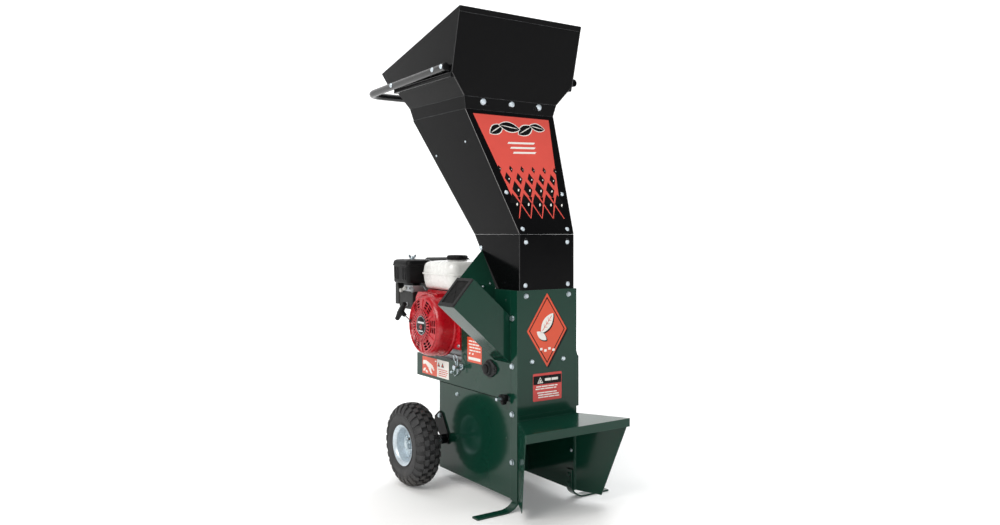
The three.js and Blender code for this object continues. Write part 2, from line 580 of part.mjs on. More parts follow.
function beltDrive() {
  pulley('rotor_pulley', [0, ROTOR.y, ROTOR.z], ROTOR_PULLEY_R, SHAFT_R + GAP);
  pulley('engine_pulley', [0, CRANK.y, CRANK.z], ENGINE_PULLEY_R, CRANK_R + GAP);
  const inA = ROTOR_PULLEY_R - BELT_T - 0.3;
  const inB = ENGINE_PULLEY_R - BELT_T - 0.3;
  const outside = loopOutline(ROTOR, CRANK, inA + BELT_T, inB + BELT_T);
  const belt = prism('x', outside, PULLEY_X + 3, PULLEY_X + 3 + BELT_W);
  const inner = prism('x', loopOutline(ROTOR, CRANK, inA, inB), PULLEY_X, PULLEY_X + 20);
  add('v_belt', RUBBER, belt.subtract(inner));
  const cover = (grow, x0, x1) => {
    const big = ROTOR_PULLEY_R + grow;
    const front = block(x0, x1, ROTOR.y - big, ROTOR.y - 14 + grow, 276 - grow, 404 + grow);
    return prism('x', loopOutline(ROTOR, CRANK, big, ENGINE_PULLEY_R + grow + 8), x0, x1).add(front);
  };
  const shell = cover(14, UPPER_X + GAP, 172).subtract(cover(14 - SHEET, UPPER_X - 2, 172 - SHEET));
  add('belt_guard', GREEN, shell);
}

function engineBlock() {
  const foot = block(-84, 88, 332, 512, DECK_TOP + GAP, 400);
  const caseOutline = [[345, 399], [498, 399], [506, 420], [506, 556], [470, 586], [372, 586], [345, 556]];
  const body = prism('x', caseOutline, -74, 78);
  const cover = disc('x', [0, CRANK.y, CRANK.z], 62, 78, 92, 32);
  const bore = disc('x', [0, CRANK.y, CRANK.z], CRANK_R + 0.12, -200, 200);
  const hollow = block(-66, 70, 353, 498, 408, 578);
  const cylinderHole = disc('y', [3, 0, 520], 34, 490, 520, 24);
  add('crankcase', ALLOY, cut(union([foot, body, cover]), [bore, hollow, cylinderHole]));
  add('crankshaft', STEEL, disc('x', [0, CRANK.y, CRANK.z], CRANK_R, -112, 150));

  const fan = [];
  for (let i = 0; i < 12; i += 1) {
    const turn = new THREE.Matrix4().makeTranslation(0, CRANK.y, CRANK.z)
      .multiply(new THREE.Matrix4().makeRotationX((i / 12) * Math.PI * 2));
    fan.push(block(-118, -104, 56, 84, -1.5, 1.5).transform(turn.elements));
  }
  const wheel = union([ring('x', [0, CRANK.y, CRANK.z], CRANK_R + GAP, 88, -105, -88, 32), ...fan]);
  add('flywheel', IRON, wheel);

  const tilt = (manifold) => {
    const turn = new THREE.Matrix4().makeTranslation(0, CRANK.y, CRANK.z)
      .multiply(new THREE.Matrix4().makeRotationX(THREE.MathUtils.degToRad(22)));
    return manifold.transform(turn.elements);
  };
  const barrel = tilt(block(-44, 50, 78, 196, -36, 44));
  const fins = [];
  for (let i = 0; i < 8; i += 1) {
    fins.push(tilt(block(-58, 62, 100 + i * 12, 104 + i * 12, -52, 56)));
  }
  const head = tilt(block(-50, 56, 196, 214, -46, 50));
  const clear = block(-75, 79, 300, 506.3, 300, 700);
  const cylinderBore = tilt(disc('y', [3, 0, 4], 32, 60, 190, 24));
  add('cylinder', ALLOY, cut(union([barrel, ...fins, head]), [clear, cylinderBore]));

  add('oil_filler', PLASTIC, union([disc('y', [-40, 0, 420], 10, 326, 344.7, 16),
    disc('y', [-40, 0, 420], 15, 318, 327, 16)]));
}

// The cowl round the fan, with the starter's domed face on its -X side.
function engineCowl() {
  const centre = [0, CRANK.y, CRANK.z];
  const profile = [[0, -188], [46, -188], [52, -184], [87, -178], [99, -166], [101, -120],
    [104, -116], [104, -110], [98, -110], [98, -118], [96, -162], [85, -173.5], [50, -180], [0, -180]];
  const shell = turned('x', profile, centre, 36);
  const below = block(-300, 300, 0, 900, 0, DECK_TOP + GAP);
  const vents = [];
  for (let i = 0; i < 16; i += 1) {
    const turn = new THREE.Matrix4().makeTranslation(0, CRANK.y, CRANK.z)
      .multiply(new THREE.Matrix4().makeRotationX((i / 16) * Math.PI * 2 + 0.1));
    vents.push(block(-200, -150, 60, 82, -2.6, 2.6).transform(turn.elements));
  }
  const tray = prism('x', [[309, 430], [520, 430], [520, 609], [357, 609], [309, 563]], -111, -74.3)
    .subtract(prism('x', [[313, 425], [516, 425], [516, 605], [359, 605], [313, 561]], -120, -78));
  const shoulderOutline = [[388, 560], [470, 500], [523, 470], [529, 480], [529, 584], [512, 603], [388, 603]];
  const shoulder = prism('x', shoulderOutline, -150, -78).subtract(disc('x', centre, 97, -200, 0, 36));
  const crankHole = disc('x', centre, 30, -100, -50, 24);
  const ropeHole = pipe([alongPull(-90), alongPull(-20)], 5, { straight: true, steps: 1, sides: 5 });
  const switchBox = block(-102, -82, 304, 312, 446, 478);
  const inFan = disc('x', centre, 97.8, -115, -105, 36);
  const body = union([shell, tray, shoulder, switchBox]);
  add('fan_cowl', ENGINE_RED, cut(body, [below, crankHole, ropeHole, inFan, ...vents]));
}

function roundedBox(x0, x1, y0, y1, z0, z1, radius) {
  const shape = new THREE.Shape();
  shape.absarc(x1 - radius, y1 - radius, radius, 0, Math.PI / 2, false);
  shape.absarc(x0 + radius, y1 - radius, radius, Math.PI / 2, Math.PI, false);
  shape.absarc(x0 + radius, y0 + radius, radius, Math.PI, Math.PI * 1.5, false);
  shape.absarc(x1 - radius, y0 + radius, radius, Math.PI * 1.5, Math.PI * 2, false);
  const depth = z1 - z0;
  const geometry = new THREE.ExtrudeGeometry(shape, { depth, bevelEnabled: false, curveSegments: 3 });
  return toManifold(geometry.translate(0, 0, z0));
}

function fuelTank() {
  const box = (grow, z0, z1) => roundedBox(-130 - grow, 92 + grow, 333 - grow, 536 + grow, z0, z1, 30);
  const centre = [FUEL_CAP.x, FUEL_CAP.y, 0];
  const neck = disc('z', centre, FUEL_CAP.r - 5, 702, 715, 32);
  const inside = union([box(-3, 623, 701), box(-9, 615, 707), disc('z', centre, FUEL_CAP.r - 9, 690, 720, 32)]);
  const tank = cut(union([box(-6, 612, 710), box(0, 620, 704), box(3, 661, 666), neck]), [inside]);
  const brackets = [-56, 64].map((x) => block(x - 8, x + 8, 380, 460, 586.3, 615));
  add('fuel_tank', TANK_WHITE, union([tank, ...brackets]));
  const { r } = FUEL_CAP;
  const cap = [[0, 726], [r - 4, 726], [r, 723], [r, 710.4], [r - 4.4, 710.4], [r - 4.4, 715.4], [0, 715.4]];
  add('fuel_cap', PLASTIC, turned('z', cap, centre, 32));
}

function intakeSide() {
  const air = roundedBox(-172, -74, 541.5, 657, 628, 704, 16);
  const lid = roundedBox(-175, -71, 538.5, 660, 688, 708, 18);
  const chamber = roundedBox(-169, -77, 544.5, 654, 631, 705, 14);
  const inlet = disc('z', [-94, 586, 0], 14, 620, 640, 16);
  add('air_cleaner', PLASTIC, cut(union([air, lid]), [chamber, inlet]));
  const nut = union([turned('z', [[0, 708.3], [8, 708.3], [6, 716], [0, 716]], [-124, 600, 0], 16),
    block(-138, -110, 598.4, 601.6, 712, 724)]);
  add('wing_nut', PLASTIC, nut);
  const carb = union([block(-112, -76, 560, 612, 592, 627.7), disc('z', [-94, 586, 0], 19, 560, 593, 24),
    block(-76.5, -60, 566, 606, 596, 624), block(-150, -111, 548, 610, 600, 620),
    block(-148, -112.5, 552, 648, 540, 601)]);
  add('carburettor', ALLOY, carb);
  const can = roundedBox(-52, 86, 545, 660, 628, 712, 14);
  const canInside = roundedBox(-49.5, 83.5, 547.5, 657.5, 630.5, 709.5, 12);
  const outlet = disc('x', [0, 635, 690], 11, 80, 96, 16);
  const outletBore = disc('x', [0, 635, 690], 9, 75, 100, 16);
  add('muffler', IRON, cut(union([can, outlet]), [canInside, outletBore]));
}

function lever(name, finish, origin, reach, drop) {
  const [x, y, z] = origin;
  const plate = union([disc('x', [0, y, z], 8, x - 3, x, 16), prism('x', [[y - 3.5, z], [y + 3.5, z],
    [y + reach + 4, z + drop], [y + reach - 4, z + drop]], x - 3, x)]);
  const grip = disc('x', [0, y + reach, z + drop], 7, x - 9, x, 12);
  add(name, finish, union([plate, grip]));
}

function controls() {
  lever('choke_lever', GREY, [-150.4, 562, 611], -22, -6);
  lever('throttle_lever', GREY, [-150.4, 598, 611], 26, -10);
  const tap = union([block(-152.5, -149.5, TAP.y, TAP.y + 22, TAP.z - 4, TAP.z + 4),
    disc('x', [0, TAP.y, TAP.z], 7, -152.5, -148.3, 12)]);
  add('fuel_tap', GREY, tap);
  const knob = union([disc('y', [-93, 0, 462], 9, 297, 303.7, 16), block(-95, -91, 292, 298, 453, 471)]);
  add('stop_switch', PLASTIC, knob);
}

function starterGrip() {
  const across = new THREE.Vector3(0, 1, -1).normalize();
  const end = (t) => GRIP.clone().addScaledVector(across, t).toArray();
  const bar = pipe([end(-38), end(38)], 10.5, { straight: true, steps: 1, sides: 6 });
  const stem = pipe([alongPull(-22), alongPull(0)], 6.5, { straight: true, steps: 1, sides: 5 });
  add('starter_grip', PLASTIC, union([bar, stem]));
  const rope = [alongPull(-62), alongPull(-22.3)];
  add('starter_rope', GREY, pipe(rope, ROPE_R, { straight: true, steps: 1, sides: 4 }));
}

// The latch pin through the deck's side, and the three-lobed knob that clamps the front of the upper body.
function latches() {
  const pinAt = [0, LATCH.y, LATCH.z];
  const wire = [[0, -18], [0, 30], [12, 38], [22, 28], [12, 12], [18, -6]];
  const clip = pipe(wire.map(([y, z]) => [-124, LATCH.y + y, LATCH.z + z]), 2, { steps: 14, sides: 3 });
  const pin = union([disc('x', pinAt, 5, -132, -92, 16), disc('x', pinAt, 8, -138, -131, 16)]);
  add('latch_pin', ZINC, union([pin, clip]));
  const studAt = [0, 52, 318];
  add('knob_stud', ZINC, union([disc('x', studAt, 5, -146, -UPPER_X - GAP, 16),
    disc('x', studAt, 9, -UPPER_X - GAP - 3, -UPPER_X - GAP, 6)]));
  const lobes = [0, 1, 2].map((i) => {
    const angle = (i / 3) * Math.PI * 2 + 0.4;
    const lobeAt = [0, studAt[1] + 11 * Math.cos(angle), studAt[2] + 11 * Math.sin(angle)];
    return disc('x', lobeAt, 7, -128, -114, 12);
  });
  const knob = union([disc('x', studAt, 11, -130, -110, 20), ...lobes]);
  add('hand_knob', PLASTIC, cut(knob, [disc('x', studAt, 5.12, -200, 0, 16)]));
}

baseShell();
upperSides();
frontPanel();
rotorHousing();
hopperNeck();
hopperHead();
pushHandle();
feedChute();
deflectorHood();
feet();
axleSet();
wheels();
rotorSet();
beltDrive();
engineBlock();
engineCowl();
fuelTank();
intakeSide();
controls();
starterGrip();
latches();

// The origin goes to the middle of the box's base.
const box = new THREE.Box3().setFromObject(group);
group.children.forEach((mesh) => {
  mesh.geometry.translate(-(box.min.x + box.max.x) / 2, -(box.min.y + box.max.y) / 2, -box.min.z);
});

export default group;
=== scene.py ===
import math
import random

import bmesh
import bpy
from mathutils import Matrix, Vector
from mathutils.geometry import tessellate_polygon


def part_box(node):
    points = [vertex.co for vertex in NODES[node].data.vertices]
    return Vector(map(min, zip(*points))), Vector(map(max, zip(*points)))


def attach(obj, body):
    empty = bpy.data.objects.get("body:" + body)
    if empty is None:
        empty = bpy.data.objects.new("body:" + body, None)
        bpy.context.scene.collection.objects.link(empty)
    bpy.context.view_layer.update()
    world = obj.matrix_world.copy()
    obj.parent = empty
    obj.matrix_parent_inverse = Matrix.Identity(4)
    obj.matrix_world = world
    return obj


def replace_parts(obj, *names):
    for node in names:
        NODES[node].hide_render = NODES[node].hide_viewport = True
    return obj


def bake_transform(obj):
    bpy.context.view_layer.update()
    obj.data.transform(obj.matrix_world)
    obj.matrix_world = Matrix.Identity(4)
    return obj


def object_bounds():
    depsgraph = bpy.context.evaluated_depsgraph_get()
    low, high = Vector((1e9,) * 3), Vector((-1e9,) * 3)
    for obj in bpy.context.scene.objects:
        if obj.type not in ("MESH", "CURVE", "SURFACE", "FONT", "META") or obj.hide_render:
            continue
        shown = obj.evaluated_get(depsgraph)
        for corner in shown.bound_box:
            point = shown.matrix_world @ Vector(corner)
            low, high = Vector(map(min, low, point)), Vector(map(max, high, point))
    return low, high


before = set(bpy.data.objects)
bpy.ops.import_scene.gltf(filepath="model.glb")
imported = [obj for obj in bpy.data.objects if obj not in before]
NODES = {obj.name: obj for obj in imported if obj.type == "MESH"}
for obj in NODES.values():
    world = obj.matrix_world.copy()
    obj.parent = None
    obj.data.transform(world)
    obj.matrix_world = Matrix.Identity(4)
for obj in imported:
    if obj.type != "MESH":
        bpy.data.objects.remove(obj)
cad_low, cad_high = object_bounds()

# The base shell is centred across the machine, its back is at y = 450 and its bottom at z = 28.
shell_low, shell_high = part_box("base_shell")
ORIGIN = Vector(((shell_low.x + shell_high.x) / 2, shell_high.y - 0.450, shell_low.z - 0.028))
X, Y, Z = Vector((1, 0, 0)), Vector((0, 1, 0)), Vector((0, 0, 1))


def place(point):
    """A point of the design frame, in millimetres, as a point of the row frame, in metres."""
    return ORIGIN + Vector(point) * 0.001


# ---------- materials ----------
def node(tree, kind, inputs=None, **settings):
    made = tree.nodes.new(kind)
    for name, value in settings.items():
        setattr(made, name, value)
    for key, value in (inputs or {}).items():
        if isinstance(value, bpy.types.NodeSocket):
            tree.links.new(value, made.inputs[key])
        else:
            made.inputs[key].default_value = value
    return made


def linear(rgb):
    """Display colour, 0 to 255, as linear RGBA."""
    out = [(c / 255 / 12.92 if c <= 10 else ((c / 255 + 0.055) / 1.055) ** 2.4) for c in rgb]
    return (*out, 1.0)


def noise(tree, scale, detail=3.0, stretch=(1, 1, 1)):
    coords = node(tree, "ShaderNodeTexCoord")
    mapping = node(tree, "ShaderNodeMapping", {"Vector": coords.outputs["Object"], "Scale": stretch})
    return node(tree, "ShaderNodeTexNoise", {
        "Vector": mapping.outputs["Vector"], "Scale": scale, "Detail": detail, "Roughness": 0.5,
    }).outputs["Fac"]


def spread(tree, value, low, high, start=0.3, end=0.7):
    return node(tree, "ShaderNodeMapRange", {
        "Value": value, "From Min": start, "From Max": end, "To Min": low, "To Max": high,
    }).outputs["Result"]


def edge_wear_and_highlight(tree, width):
    """1 on flat faces, falling where a face meets another within that many metres."""
    soft = node(tree, "ShaderNodeBevel", {"Radius": width}, samples=4)
    flat = node(tree, "ShaderNodeNewGeometry")
    dot = node(tree, "ShaderNodeVectorMath", {0: soft.outputs["Normal"], 1: flat.outputs["Normal"]},
               operation="DOT_PRODUCT")
    return dot.outputs["Value"]


def finish(name, rgb, rough, metal=0.0, coat=0.0, shade=0.12, blotch=9.0, grain=700.0, bump=0.1, depth=0.0003,
           stretch=(1, 1, 1), rough_spread=0.06, edge=None, edge_width=0.0012, dust=None, specular=0.5,
           sheen=0.0):
    """One procedural material: two scales of colour change, grain in the bump, and lighter edges (wear on the
    metals, mouldings and tyre, a painted highlight on the enamels).
    """
    made = bpy.data.materials.new(name)
    made.use_nodes = True
    tree = made.node_tree
    shader = next(n for n in tree.nodes if n.type == "BSDF_PRINCIPLED")
    base = linear(rgb)
    dark = tuple(c * (1 - shade) for c in base[:3]) + (1.0,)
    light = tuple(min(1.0, c * (1 + shade)) for c in base[:3]) + (1.0,)
    large = noise(tree, blotch, 4.0)
    tint = node(tree, "ShaderNodeMix", {"Factor": spread(tree, large, 0.0, 1.0), "A": dark, "B": light},
                data_type="RGBA")
    tint.inputs[6].default_value, tint.inputs[7].default_value = dark, light
    colour = tint.outputs[2]
    fine = noise(tree, grain, 3.0, stretch)
    # Lighter edges: wear on the metals, mouldings and tyre; on the green, black and red enamels a painted
    # highlight along the folds.
    if edge is not None:
        facing = edge_wear_and_highlight(tree, edge_width)
        amount = spread(tree, facing, 0.75, 0.0, 0.80, 0.985)
        broken = node(tree, "ShaderNodeMath", {0: amount, 1: spread(tree, noise(tree, 60.0), 0.35, 1.0)},
                      operation="MULTIPLY")
        mixed = node(tree, "ShaderNodeMix", {"Factor": broken.outputs[0]}, data_type="RGBA")
        tree.links.new(colour, mixed.inputs[6])
        mixed.inputs[7].default_value = linear(edge)
        colour = mixed.outputs[2]
    if dust is not None:
        where = node(tree, "ShaderNodeTexCoord")
        height = node(tree, "ShaderNodeSeparateXYZ", {"Vector": where.outputs["Object"]})
        low = spread(tree, height.outputs["Z"], 0.5, 0.0, 0.0, dust[1])
        patches = spread(tree, noise(tree, 35.0, 6.0), 0.0, 1.0, 0.4, 0.7)
        patchy = node(tree, "ShaderNodeMath", {0: low, 1: patches}, operation="MULTIPLY")
        mixed = node(tree, "ShaderNodeMix", {"Factor": patchy.outputs[0]}, data_type="RGBA")
        tree.links.new(colour, mixed.inputs[6])
        mixed.inputs[7].default_value = linear(dust[0])
        colour = mixed.outputs[2]
    tree.links.new(colour, shader.inputs["Base Color"])
    tree.links.new(spread(tree, noise(tree, blotch * 4, 5.0), rough - rough_spread, rough + rough_spread),
                   shader.inputs["Roughness"])
    shader.inputs["Metallic"].default_value = metal
    shader.inputs["Specular IOR Level"].default_value = specular
    shader.inputs["Coat Weight"].default_value = coat
    shader.inputs["Coat Roughness"].default_value = 0.08
    shader.inputs["Sheen Weight"].default_value = sheen
    relief = node(tree, "ShaderNodeBump", {"Strength": bump, "Distance": depth, "Height": fine})
    tree.links.new(relief.outputs["Normal"], shader.inputs["Normal"])
    return made


# The lighter edge colours of the green, black and red enamels are painted highlights along their folds and
# edges.
GREEN = finish("green_enamel", (12, 54, 41), 0.12, shade=0.06, blotch=3.0, grain=900.0, bump=0.015,
               rough_spread=0.02, specular=0.31, edge=(92, 124, 112), edge_width=0.0011)
BLACK = finish("black_enamel", (10, 10, 11), 0.17, shade=0.10, blotch=4.0, grain=900.0, bump=0.02,
               rough_spread=0.03, specular=0.085, edge=(130, 132, 134), edge_width=0.0012)
# A little lighter and glossier than the black enamel: the lighter tone is a painted highlight along the beads
# and the hand rail.
BEAD = finish("black_bead_highlight", (24, 24, 25), 0.2, shade=0.15, blotch=30.0, grain=900.0, bump=0.1, specular=0.6)
RED = finish("red_enamel", (178, 11, 27), 0.28, coat=0.2, shade=0.06, blotch=14.0, grain=500.0, bump=0.03,
             edge=(235, 90, 100), edge_width=0.0008)
WHITE = finish("white_enamel", (226, 226, 223), 0.28, coat=0.5, shade=0.02, blotch=12.0, grain=500.0,
               bump=0.02)
PLASTIC = finish("black_moulding", (13, 13, 14), 0.46, shade=0.10, blotch=25.0, grain=1500.0, bump=0.22,
                 depth=0.0002, specular=0.16, edge=(84, 84, 84), edge_width=0.0007)
PALE = finish("pale_moulding", (170, 170, 166), 0.45, shade=0.05, blotch=30.0, grain=1500.0, bump=0.18,
              depth=0.0002)
GREY = finish("grey_moulding", (120, 122, 124), 0.48, shade=0.05, blotch=30.0, grain=1500.0, bump=0.18,
              depth=0.0002)
RUBBER = finish("sheet_rubber", (34, 33, 32), 0.72, shade=0.18, blotch=40.0, grain=900.0, bump=0.35,
                depth=0.0003, sheen=0.2, dust=((96, 90, 80), 0.9))
TYRE = finish("tyre_rubber", (48, 48, 49), 0.68, shade=0.22, blotch=30.0, grain=1100.0, bump=0.35,
              depth=0.0003, edge=(98, 97, 95), edge_width=0.0009, dust=((112, 106, 96), 0.06))
ZINC = finish("zinc_plate", (188, 200, 206), 0.3, metal=1.0, shade=0.08, blotch=90.0, grain=450.0, bump=0.05,
              rough_spread=0.09, edge=(235, 240, 242), edge_width=0.0005)
GALVANISED = finish("galvanised_sheet", (204, 215, 222), 0.36, metal=0.45, shade=0.12, blotch=140.0,
                    grain=260.0, bump=0.08, rough_spread=0.12, edge=(240, 244, 246), edge_width=0.0008)
STEEL = finish("ground_steel", (158, 159, 160), 0.33, metal=1.0, shade=0.08, blotch=30.0, grain=500.0,
               bump=0.12, stretch=(1, 14, 14))
IRON = finish("cast_iron", (58, 59, 60), 0.6, metal=0.7, shade=0.2, blotch=40.0, grain=650.0, bump=0.4,
              depth=0.0005, edge=(120, 120, 120), edge_width=0.0008)
ALLOY = finish("cast_alloy", (176, 178, 180), 0.45, metal=0.9, shade=0.09, blotch=40.0, grain=750.0, bump=0.3,
               depth=0.0004)
HEAT = finish("heat_paint", (30, 30, 30), 0.6, shade=0.25, blotch=18.0, grain=600.0, bump=0.25,
              edge=(92, 80, 70), edge_width=0.0012)
ROPE = finish("rope_fibre", (84, 84, 82), 0.85, shade=0.15, blotch=300.0, grain=2600.0, bump=0.8, sheen=0.4)
# Darker than the other rubber: besides the rubber's black, painted shade of the recessed chute mouth.
FLAP = finish("flap_rubber_and_shade", (14, 14, 14), 0.82, shade=0.15, blotch=40.0, grain=900.0, bump=0.3,
              specular=0.25)
# Near-black and hardly reflecting: painted shade, for the shadow line under the upper side plates and the
# dark inside of the starter cover.
PAINTED_SHADE = finish("painted_shade_black", (4, 4, 4), 0.9, shade=0.1, blotch=20.0, grain=900.0, bump=0.05, specular=0.02)
LIP = finish("lip_rubber", (21, 21, 21), 0.6, shade=0.12, blotch=40.0, grain=900.0, bump=0.25, specular=0.3)


def film_finish(name, rgb, rough=0.4, coat=0.3, shade=0.03, blotch=20.0, **more):
    """A smooth printed film."""
    return finish(name, rgb, rough, coat=coat, shade=shade, blotch=blotch, grain=900.0, bump=0.02, **more)


CORAL = film_finish("film_coral", (216, 78, 66))
ORANGE = film_finish("film_orange", (216, 70, 26), 0.38)
SIGNAL = film_finish("film_red", (204, 50, 42), 0.38)
INK = film_finish("film_black", (15, 15, 16), 0.3, coat=0.0, shade=0.1, specular=0.12)
PAPER = film_finish("film_white", (236, 233, 226))
CHROME = finish("label_silver", (205, 206, 208), 0.2, metal=1.0, shade=0.04, blotch=30.0, grain=800.0,
                bump=0.03)


# ---------- mesh making ----------
def axes_of(direction):
    """Two unit vectors across a direction, and the direction itself."""
    w = Vector(direction).normalized()
    u = (Z if abs(w.z) < 0.9 else X).cross(w).normalized()
    return u, w.cross(u), w


def fillet(points, radius, steps=5, closed=True):
    """An outline with its corners rounded."""
    out = []
    count = len(points)
    for i, here in enumerate(points):
        here = Vector(here)
        if not closed and i in (0, count - 1):
            out.append(tuple(here))
            continue
        before, after = Vector(points[i - 1]), Vector(points[(i + 1) % count])
        r = radius[i] if isinstance(radius, (list, tuple)) else radius
        reach = min(r, (before - here).length * 0.48, (after - here).length * 0.48)
        if reach < 1e-4:
            out.append(tuple(here))
            continue
        a = here + (before - here).normalized() * reach
        b = here + (after - here).normalized() * reach
        for k in range(steps + 1):
            t = k / steps
            out.append(tuple(a * (1 - t) ** 2 + here * 2 * t * (1 - t) + b * t * t))
    return out


def smooth_path(points, per=8):
    """Points on a Catmull-Rom curve through points."""
    pts = [Vector(p) for p in points]
    out = []
    for i in range(len(pts) - 1):
        p0 = pts[i - 1] if i > 0 else pts[0] * 2 - pts[1]
        p1, p2 = pts[i], pts[i + 1]
        p3 = pts[i + 2] if i + 2 < len(pts) else pts[-1] * 2 - pts[-2]
        for k in range(per):
            t = k / per
            out.append(0.5 * ((2 * p1) + (p2 - p0) * t + (2 * p0 - 5 * p1 + 4 * p2 - p3) * t * t
                              + (3 * p1 - p0 - 3 * p2 + p3) * t ** 3))
    return out + [pts[-1]]


class Piece:
    """One piece of the visual model, built up in millimetres of the design frame."""

    def __init__(self, name, body, material, slot=None):
        self.name, self.body, self.material, self.slot = name, body, material, slot
        self.bm = bmesh.new()

    def rings(self, rings, closed=False, caps=True):
        """A skin through rings of equal count; a ring of one point closes to that point."""
        made = [[self.bm.verts.new(p) for p in ring] for ring in rings]
        pairs = list(zip(made, made[1:])) + ([(made[-1], made[0])] if closed else [])
        for a, b in pairs:
            count = max(len(a), len(b))
            for i in range(count):
                j = (i + 1) % count
                corners = [a[i % len(a)], a[j % len(a)], b[j % len(b)], b[i % len(b)]]
                unique = list(dict.fromkeys(corners))
                if len(unique) > 2:
                    self.bm.faces.new(unique)
        if caps and not closed:
            for ring, flip in ((made[0], True), (made[-1], False)):
                if len(ring) > 2:
                    self.bm.faces.new(list(reversed(ring)) if flip else ring)
        return self

    def lathe(self, centre, direction, profile, segments=48):
        """A turned shape: the profile is (radius, place along the direction), open on the axis or closed."""
        u, v, w = axes_of(direction)
        c = Vector(centre)
        rings = []
        for r, h in profile:
            if r < 1e-6:
                rings.append([c + w * h])
                continue
            angles = [math.tau * k / segments for k in range(segments)]
            rings.append([c + w * h + (u * math.cos(a) + v * math.sin(a)) * r for a in angles])
        on_axis = profile[0][0] < 1e-6 and profile[-1][0] < 1e-6
        return self.rings(rings, closed=not on_axis, caps=False)

    def turned_ring(self, centre, direction, profile, segments):
        """A turned ring whose profile goes once round its section."""
        return self.lathe(centre, direction, profile + [profile[0]], segments)

    def prism(self, origin, u, v, outline, low, high, holes=()):
        """An outline in the plane of u and v, pushed along their normal."""
        origin, u, v = Vector(origin), Vector(u).normalized(), Vector(v).normalized()
        w = u.cross(v)
        loops = [[Vector((a, b, 0)) for a, b in loop] for loop in (outline, *holes)]
        flat = [p for loop in loops for p in loop]
        tris = tessellate_polygon(loops)
        levels = []
        for h in (low, high):
            levels.append([self.bm.verts.new(origin + u * p.x + v * p.y + w * h) for p in flat])
        for tri in tris:
            a, b, c = (flat[i] for i in tri)
            up = (b - a).cross(c - a).z > 0
            order = tri if up else tuple(reversed(tri))
            self.bm.faces.new([levels[1][i] for i in order])
            self.bm.faces.new([levels[0][i] for i in reversed(order)])
        at = 0
        for loop in loops:
            count = len(loop)
            area = sum(loop[i].x * loop[(i + 1) % count].y - loop[(i + 1) % count].x * loop[i].y
                       for i in range(count))
            for i in range(count):
                a, b = at + i, at + (i + 1) % count
                quad = [levels[0][a], levels[0][b], levels[1][b], levels[1][a]]
                flip = (area < 0) == (loop is loops[0])
                self.bm.faces.new(list(reversed(quad)) if flip else quad)
            at += count
        return self

    def tube(self, path, radius, sides=12):
        """A round bar along a path, its ends closed and a little rounded."""
        pts = [Vector(p) for p in path]
        last = len(pts) - 1
        tangents = [(pts[min(i + 1, last)] - pts[max(i - 1, 0)]).normalized() for i in range(last + 1)]
        u = axes_of(tangents[0])[0]
        rings = []
        for i, (p, t) in enumerate(zip(pts, tangents)):
            u = (u - t * u.dot(t)).normalized()
            v = t.cross(u)
            r = radius(i / last) if callable(radius) else radius
            angles = [math.tau * k / sides for k in range(sides)]
            rings.append([p + u * math.cos(a) * r + v * math.sin(a) * r for a in angles])
        ends = []
        for where, t in ((0, -tangents[0]), (-1, tangents[-1])):
            ring, middle = rings[where], pts[where]
            reach = (ring[0] - middle).length * 0.15
            ends.append([middle + (p - middle) * 0.8 + t * reach for p in ring])
        return self.rings([ends[0]] + rings + [ends[1]])

    def box(self, low, high):
        (x0, y0, z0), (x1, y1, z1) = low, high
        outline = [(x0, y0), (x1, y0), (x1, y1), (x0, y1)]
        return self.prism((0, 0, 0), X, Y, outline, z0, z1)

    def bolt(self, at, direction, across=11.0, height=5.0, flange=None, dome=False, turn=0.0):
        """A flanged hexagon head, or a domed one, standing on a face."""
        flange = flange or across * 0.66
        self.lathe(at, direction, [(0, -0.4), (flange, -0.4), (flange, 0.7), (flange * 0.86, 1.5),
                                   (0, 1.7)], 24)
        if dome:
            r = across / 2
            self.lathe(at, direction, [(0, 1.0), (r, 1.0), (r * 0.97, height * 0.45),
                                       (r * 0.8, height * 0.75), (r * 0.45, height * 0.95), (0, height)], 24)
            return self
        r = across / math.sqrt(3)
        u, v, w = axes_of(direction)
        c = Vector(at)
        steps = [(r, 1.0), (r, height * 0.8), (r * 0.9, height), (r * 0.55, height), (r * 0.5, height - 0.5)]
        angles = [turn + k * math.pi / 3 for k in range(6)]
        return self.rings([[c + w * h + (u * math.cos(a) + v * math.sin(a)) * size for a in angles]
                           for size, h in steps])

    def mesh(self):
        bmesh.ops.recalc_face_normals(self.bm, faces=self.bm.faces)
        for vert in self.bm.verts:
            vert.co = place(vert.co)
        mesh = bpy.data.meshes.new(self.name)
        self.bm.to_mesh(mesh)
        self.bm.free()
        return mesh

    def done(self, bevel=0.0, segments=2, angle=35.0, carve=None, detached=False):
        mesh = self.mesh()
        obj = bpy.data.objects.new(self.name, mesh)
        bpy.context.scene.collection.objects.link(obj)
        mesh.materials.append(self.material)
        if carve is not None:
            cutter = bpy.data.objects.new(self.name + "_cut", carve.mesh())
            bpy.context.scene.collection.objects.link(cutter)
            tool = obj.modifiers.new("cut", "BOOLEAN")
            tool.object, tool.operation, tool.solver = cutter, "DIFFERENCE", "EXACT"
            tool.use_self = True
            depsgraph = bpy.context.evaluated_depsgraph_get()
            obj.data = bpy.data.meshes.new_from_object(obj.evaluated_get(depsgraph))
            obj.modifiers.clear()
            bpy.data.objects.remove(cutter)
        if bevel:
            soften(obj, bevel, segments, angle)
        else:
            smooth(obj, angle)
        if not detached:
            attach(obj, self.body)
        return obj


def smooth(obj, angle=35.0):
    obj.data.polygons.foreach_set("use_smooth", [True] * len(obj.data.polygons))
    obj.data.set_sharp_from_angle(angle=math.radians(angle))


